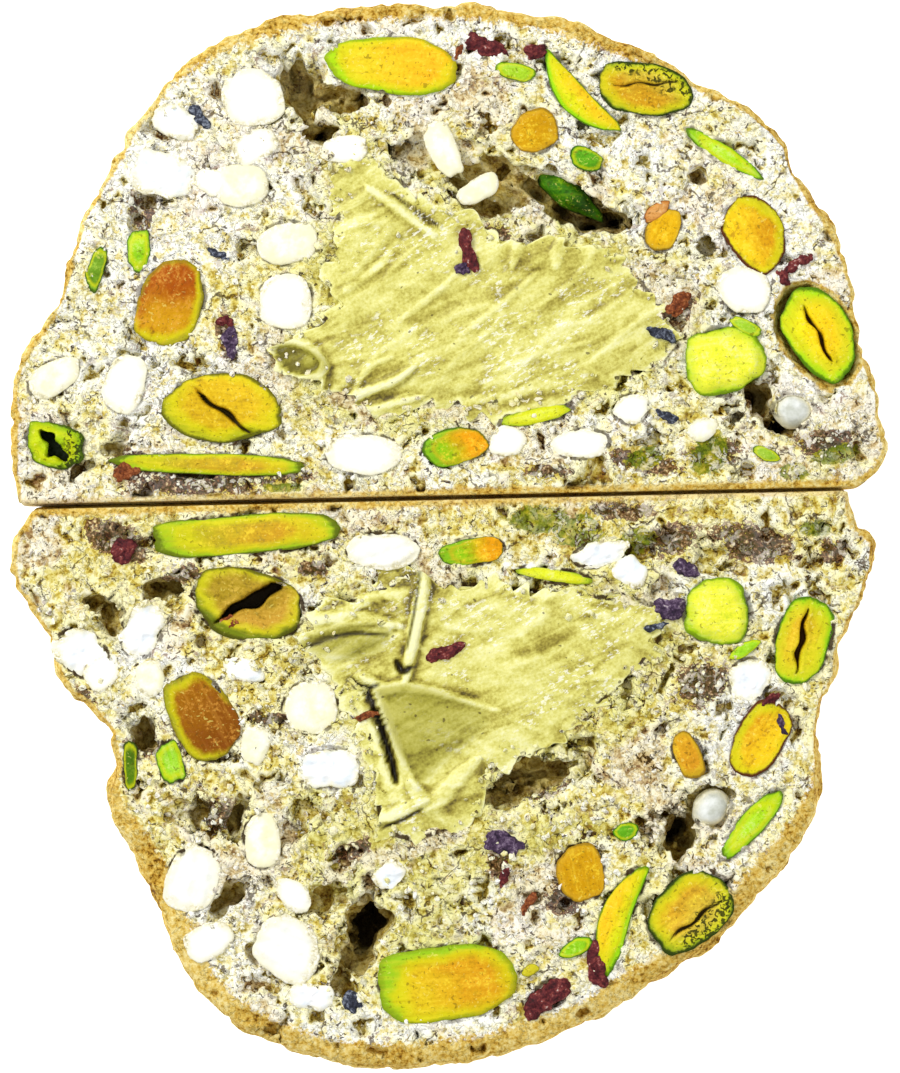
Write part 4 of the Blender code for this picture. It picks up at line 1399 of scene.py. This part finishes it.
def pathOn(side, line, rounds=2):
    # given points as a smooth line on the cut face
    path = np.array([spot(side, *place) for place in line])
    for _ in range(rounds):
        first, last = path[:1], path[-1:]
        quarter = 0.75 * path[:-1] + 0.25 * path[1:]
        threeQuarter = 0.25 * path[:-1] + 0.75 * path[1:]
        path = np.concatenate([first, np.stack([quarter, threeQuarter], 1).reshape(-1, 2), last])
    return path


def spreadCream(side):
    node = side + "_cream"
    piece = copyNode(node, side + "_cream_spread")
    edge = edgeOf(node)
    remesh = piece.modifiers.new("smooth", "REMESH")
    remesh.mode = "VOXEL"
    remesh.voxel_size = creamShape["voxel"] * 1
    applyModifiers(piece)
    places = pointsOf(piece)
    middle = edge.mean(0)
    flat = places[:, :2]
    top = ease((places[:, 2] - cutPlane + 0.6 * mm) / (0.5 * mm))
    inside = insideBy(flat, edge)
    outward = flat - middle
    outward /= np.maximum(np.hypot(outward[:, 0], outward[:, 1]), 1e-6)[:, None]
    ragged = np.array([
        1.3 * noise.noise(Vector((x, y, 3 * mm)) / (4.5 * mm))
        + 0.9 * noise.noise(Vector((x, y, 9 * mm)) / (1.3 * mm))
        for x, y in flat
    ])
    nearEdge = ease(1 - inside / (2.5 * mm)) * top
    places[:, :2] += outward * (nearEdge * creamShape["spread"] * (0.7 + 1.3 * ragged))[:, None]
    flat = places[:, :2]
    inside = insideBy(flat, edge)

    turn = math.radians(creamShape["streakTurn"][side])
    cos, sin = math.cos(turn), math.sin(turn)
    lengthways, crossways = flat @ np.array([cos, sin]), flat @ np.array([-sin, cos])
    streaks = np.array([
        0.07 * noise.noise(Vector((a / 14, b / 1.7, 0)) / mm)
        + 0.05 * noise.noise(Vector((a / 7, b / 0.7, 5)) / mm)
        + 0.36 * noise.noise(Vector((a / 8, b / 5, 8)) / mm)
        + 0.16 * max(0, 1 - 5 * abs(noise.noise(Vector((a / 12, b / 4, 4)) / mm))) ** 2
        + 0.05 * noise.noise(Vector((a / 0.8, b / 0.8, 2)) / mm)
        for a, b in zip(lengthways, crossways)
    ])
    height = creamShape["rise"] * ease((inside + 0.8 * mm) / (3 * mm)) + streaks * mm
    flapped = np.zeros(len(flat))
    for outline, step in creamFlaps[side]:
        flap = pathOn(side, outline + outline[:1])
        within = insideBy(flat, flap)
        fade = 1 - ease((np.hypot(*(flat - flap[0]).T) - 6 * mm) / (9 * mm))
        height += step * mm * ease((within + 0.1 * mm) / (0.5 * mm)) * fade
        flapped = np.maximum(flapped, ease(within / (0.8 * mm)) * (0.5 + 0.5 * fade))
    for line, width, rise in creamFolds[side]:
        path = pathOn(side, line)
        reach, along = lineDistance(flat, path)
        slim = width * mm * (0.35 + 0.75 * np.sin(math.pi * np.clip(along * 0.9 + 0.08, 0, 1)))
        bulge = np.sqrt(np.clip(1 - (reach / (1.25 * slim)) ** 2, 0, 1))
        height += rise * mm * bulge * np.clip(1.15 - along * 0.35, 0, 1)
    slit = np.zeros(len(flat))
    for line, width, depth in creamSlits[side]:
        reach, along = lineDistance(flat, pathOn(side, line))
        half = width * mm / 2 * (0.4 + 0.6 * np.sin(math.pi * along))
        gap = ease((half - reach) / (0.4 * mm) + 0.5)
        height -= depth * mm * gap
        slit = np.maximum(slit, gap)
    places[:, 2] += top * height
    places[:, 2] = np.minimum(places[:, 2], cutPlane + creamShape["highest"])
    movePoints(piece, places)
    smooth = piece.modifiers.new("smooth", "SMOOTH")
    smooth.factor = 0.5
    smooth.iterations = 2
    applyModifiers(piece)
    places = pointsOf(piece)
    # relief: how far each place stands out from its blurred surroundings, painted by the finish as light on
    # ridges and shade in dips
    calm = blurred(places, edgesOf(piece), 16)
    relief = ((places - calm) * normalsOf(piece)).sum(1) / (0.14 * mm)
    paintPoints(piece, "relief", np.clip(relief, -1.5, 1.5))
    paintPoints(piece, "flap", flapped)
    paintPoints(piece, "slit", slit * top)
    piece.data.shade_smooth()
    setPiece(piece, finishes["cream"], node)
    return piece


# Loose crumbs on the cut faces; the marks are what their dough material reads.
crumbs = {
    "count": 1100, "tries": 12000, "smallest": 0.15 * mm, "largest": 0.46 * mm,
    "seed": {"upper": 7, "lower": 11},
    # a relief of 0.8 paints the loose crumbs lighter, as lit crests: painted light
    "marks": {
        "relief": 0.8, "fromSkin": 9.0, "band": 1.0, "stain": 0.0, "green": 0.0, "seam": 0.0,
        "beside": -9.0, "floury": 0.6, "sunk": 0.0,
    },
}


def scatterCrumbs(side, half, cream):
    deselectAll()
    bpy.ops.mesh.primitive_ico_sphere_add(subdivisions=1, radius=1)
    piece = bpy.context.active_object
    piece.name = piece.data.name = side + "_loose_crumbs"
    shape = pointsOf(piece)
    faces = np.array([tuple(face.vertices) for face in piece.data.polygons])
    random = np.random.default_rng(crumbs["seed"][side])
    creamTree = BVHTree.FromObject(cream, bpy.context.evaluated_depsgraph_get())
    doughTree = BVHTree.FromObject(half, bpy.context.evaluated_depsgraph_get())
    crusted = valuesOf(half, "fromSkin") < valuesOf(half, "band") + 0.4
    low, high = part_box(side + "_dough")
    edge = edgeOf(side + "_cream")
    allPlaces, allFaces = [], []
    tries = crumbs["tries"]
    across, reach = random.uniform(low.x, high.x, tries), random.uniform(low.y, high.y, tries)
    spots = np.stack([across, reach, np.full(tries, cutPlane)], 1)
    rimmedBy = insideBy(spots[:, :2], edge)
    covered = (besideOf(side, spots) > -0.1) & (rimmedBy < 0) & (random.random(len(spots)) > 0.06)
    for (x, y, _), rimmed, hidden in zip(spots, rimmedBy, covered):
        if hidden or len(allPlaces) == crumbs["count"]:
            continue
        start = Vector((x, y, cutPlane + 10 * mm))
        onCream, onDough = (tree.ray_cast(start, Vector((0, 0, -1))) for tree in (creamTree, doughTree))
        if onDough[0] is None and onCream[0] is None:
            continue
        creamed = onCream[0] is not None and (onDough[0] is None or onCream[0].z > onDough[0].z)
        if creamed and random.random() > 0.75 * math.exp(-rimmed / (0.9 * mm)):
            continue
        if not creamed and crusted[half.data.polygons[onDough[2]].vertices[0]]:
            continue
        hit = onCream[0] if creamed else onDough[0]
        if hit.z < cutPlane - 1.6 * mm or abs(y) < 5.5 * mm:
            continue
        size = crumbs["smallest"] + (crumbs["largest"] - crumbs["smallest"]) * random.random() ** 2.2
        turn = Matrix.Rotation(random.uniform(0, 6.28), 3, Vector(random.normal(size=3)).normalized())
        lumps = shape * (1 + random.uniform(-0.42, 0.42, (len(shape), 1)))
        lumps = lumps * size * random.uniform(0.5, 1.3, 3)
        middle = np.array(hit) + np.array([0, 0, size * 0.35])
        allFaces.append(faces + len(allPlaces) * len(shape))
        allPlaces.append(lumps @ np.array(turn).T + middle)
    places = np.concatenate(allPlaces)
    places[:, 2] = np.minimum(places[:, 2], cutPlane + creamShape["highest"])
    mesh = bpy.data.meshes.new(piece.name)
    mesh.from_pydata(places.tolist(), [], np.concatenate(allFaces).tolist())
    piece.data = mesh
    for name, value in crumbs["marks"].items():
        paintPoints(piece, name, np.full(len(places), value))
    paintPoints(piece, "creamed", np.clip(-insideBy(places[:, :2], edge) / mm, 1.0, 30))
    setPiece(piece, finishes["dough"])


# Floor, light and camera: sizes and distances in metres, powers in watts.
studio = {
    "floor": 1.2, "sky": 0.62, "camera": 0.6, "margin": 1.003,
    "key": {"place": (-0.42, 0.36, 0.55), "size": 0.30, "power": 3.9},
    "fill": {"place": (0.5, -0.2, 0.5), "size": 0.5, "power": 1.2},
    "aim": (0, 0, 0.04),
}


def areaLight(name):
    light = studio[name]
    deselectAll()
    bpy.ops.object.light_add(type="AREA", location=light["place"])
    lamp = bpy.context.active_object
    lamp.name = name
    lamp.data.size = light["size"]
    lamp.data.energy = light["power"]
    towards = Vector(studio["aim"]) - Vector(light["place"])
    lamp.rotation_euler = towards.to_track_quat("-Z", "Y").to_euler()


def setStudio():
    low, high = cadBox
    middle = (low + high) / 2
    deselectAll()
    bpy.ops.mesh.primitive_plane_add(size=studio["floor"], location=(middle.x, middle.y, -0.05 * mm))
    floor = bpy.context.active_object
    floor.name = "paper_floor"
    white = (1, 1, 1, 1)
    paper = {"Base_Color": (0.96, 0.96, 0.96, 1), "Emission_Color": white, "Emission_Strength": 0.6}
    material = newFinish("whitePaper", Roughness=0.8, Specular_IOR_Level=0.2, **paper)[0]
    floor.data.materials.append(material)
    world = bpy.data.worlds.new("softBox")
    world.use_nodes = True
    sky = world.node_tree.nodes["Background"]
    sky.inputs["Color"].default_value = white
    sky.inputs["Strength"].default_value = studio["sky"]
    bpy.context.scene.world = world
    areaLight("key")
    areaLight("fill")
    deselectAll()
    bpy.ops.object.camera_add(
        location=(middle.x, middle.y, cutPlane + studio["camera"]), rotation=(0, 0, 0),
    )
    camera = bpy.context.active_object
    shown = (high.y - low.y) * studio["margin"]
    camera.data.lens = camera.data.sensor_width * studio["camera"] / shown
    bpy.context.scene.camera = camera
    bpy.context.scene.view_settings.view_transform = "Standard"


finishes = {"dough": doughFinish(), "cream": creamFinish()}
halves = {}
for side in ("upper", "lower"):
    halves[side] = bakeDough(side)
    print(side, "half baked")
setKernels()
print("kernels set")
setChocolate()
print("chocolate set")
setFlakes()
print("flakes set")
for side in ("upper", "lower"):
    spread = spreadCream(side)
    print(side, "cream spread")
    scatterCrumbs(side, halves[side], spread)
    print(side, "crumbs scattered")
setStudio()
print("studio set")
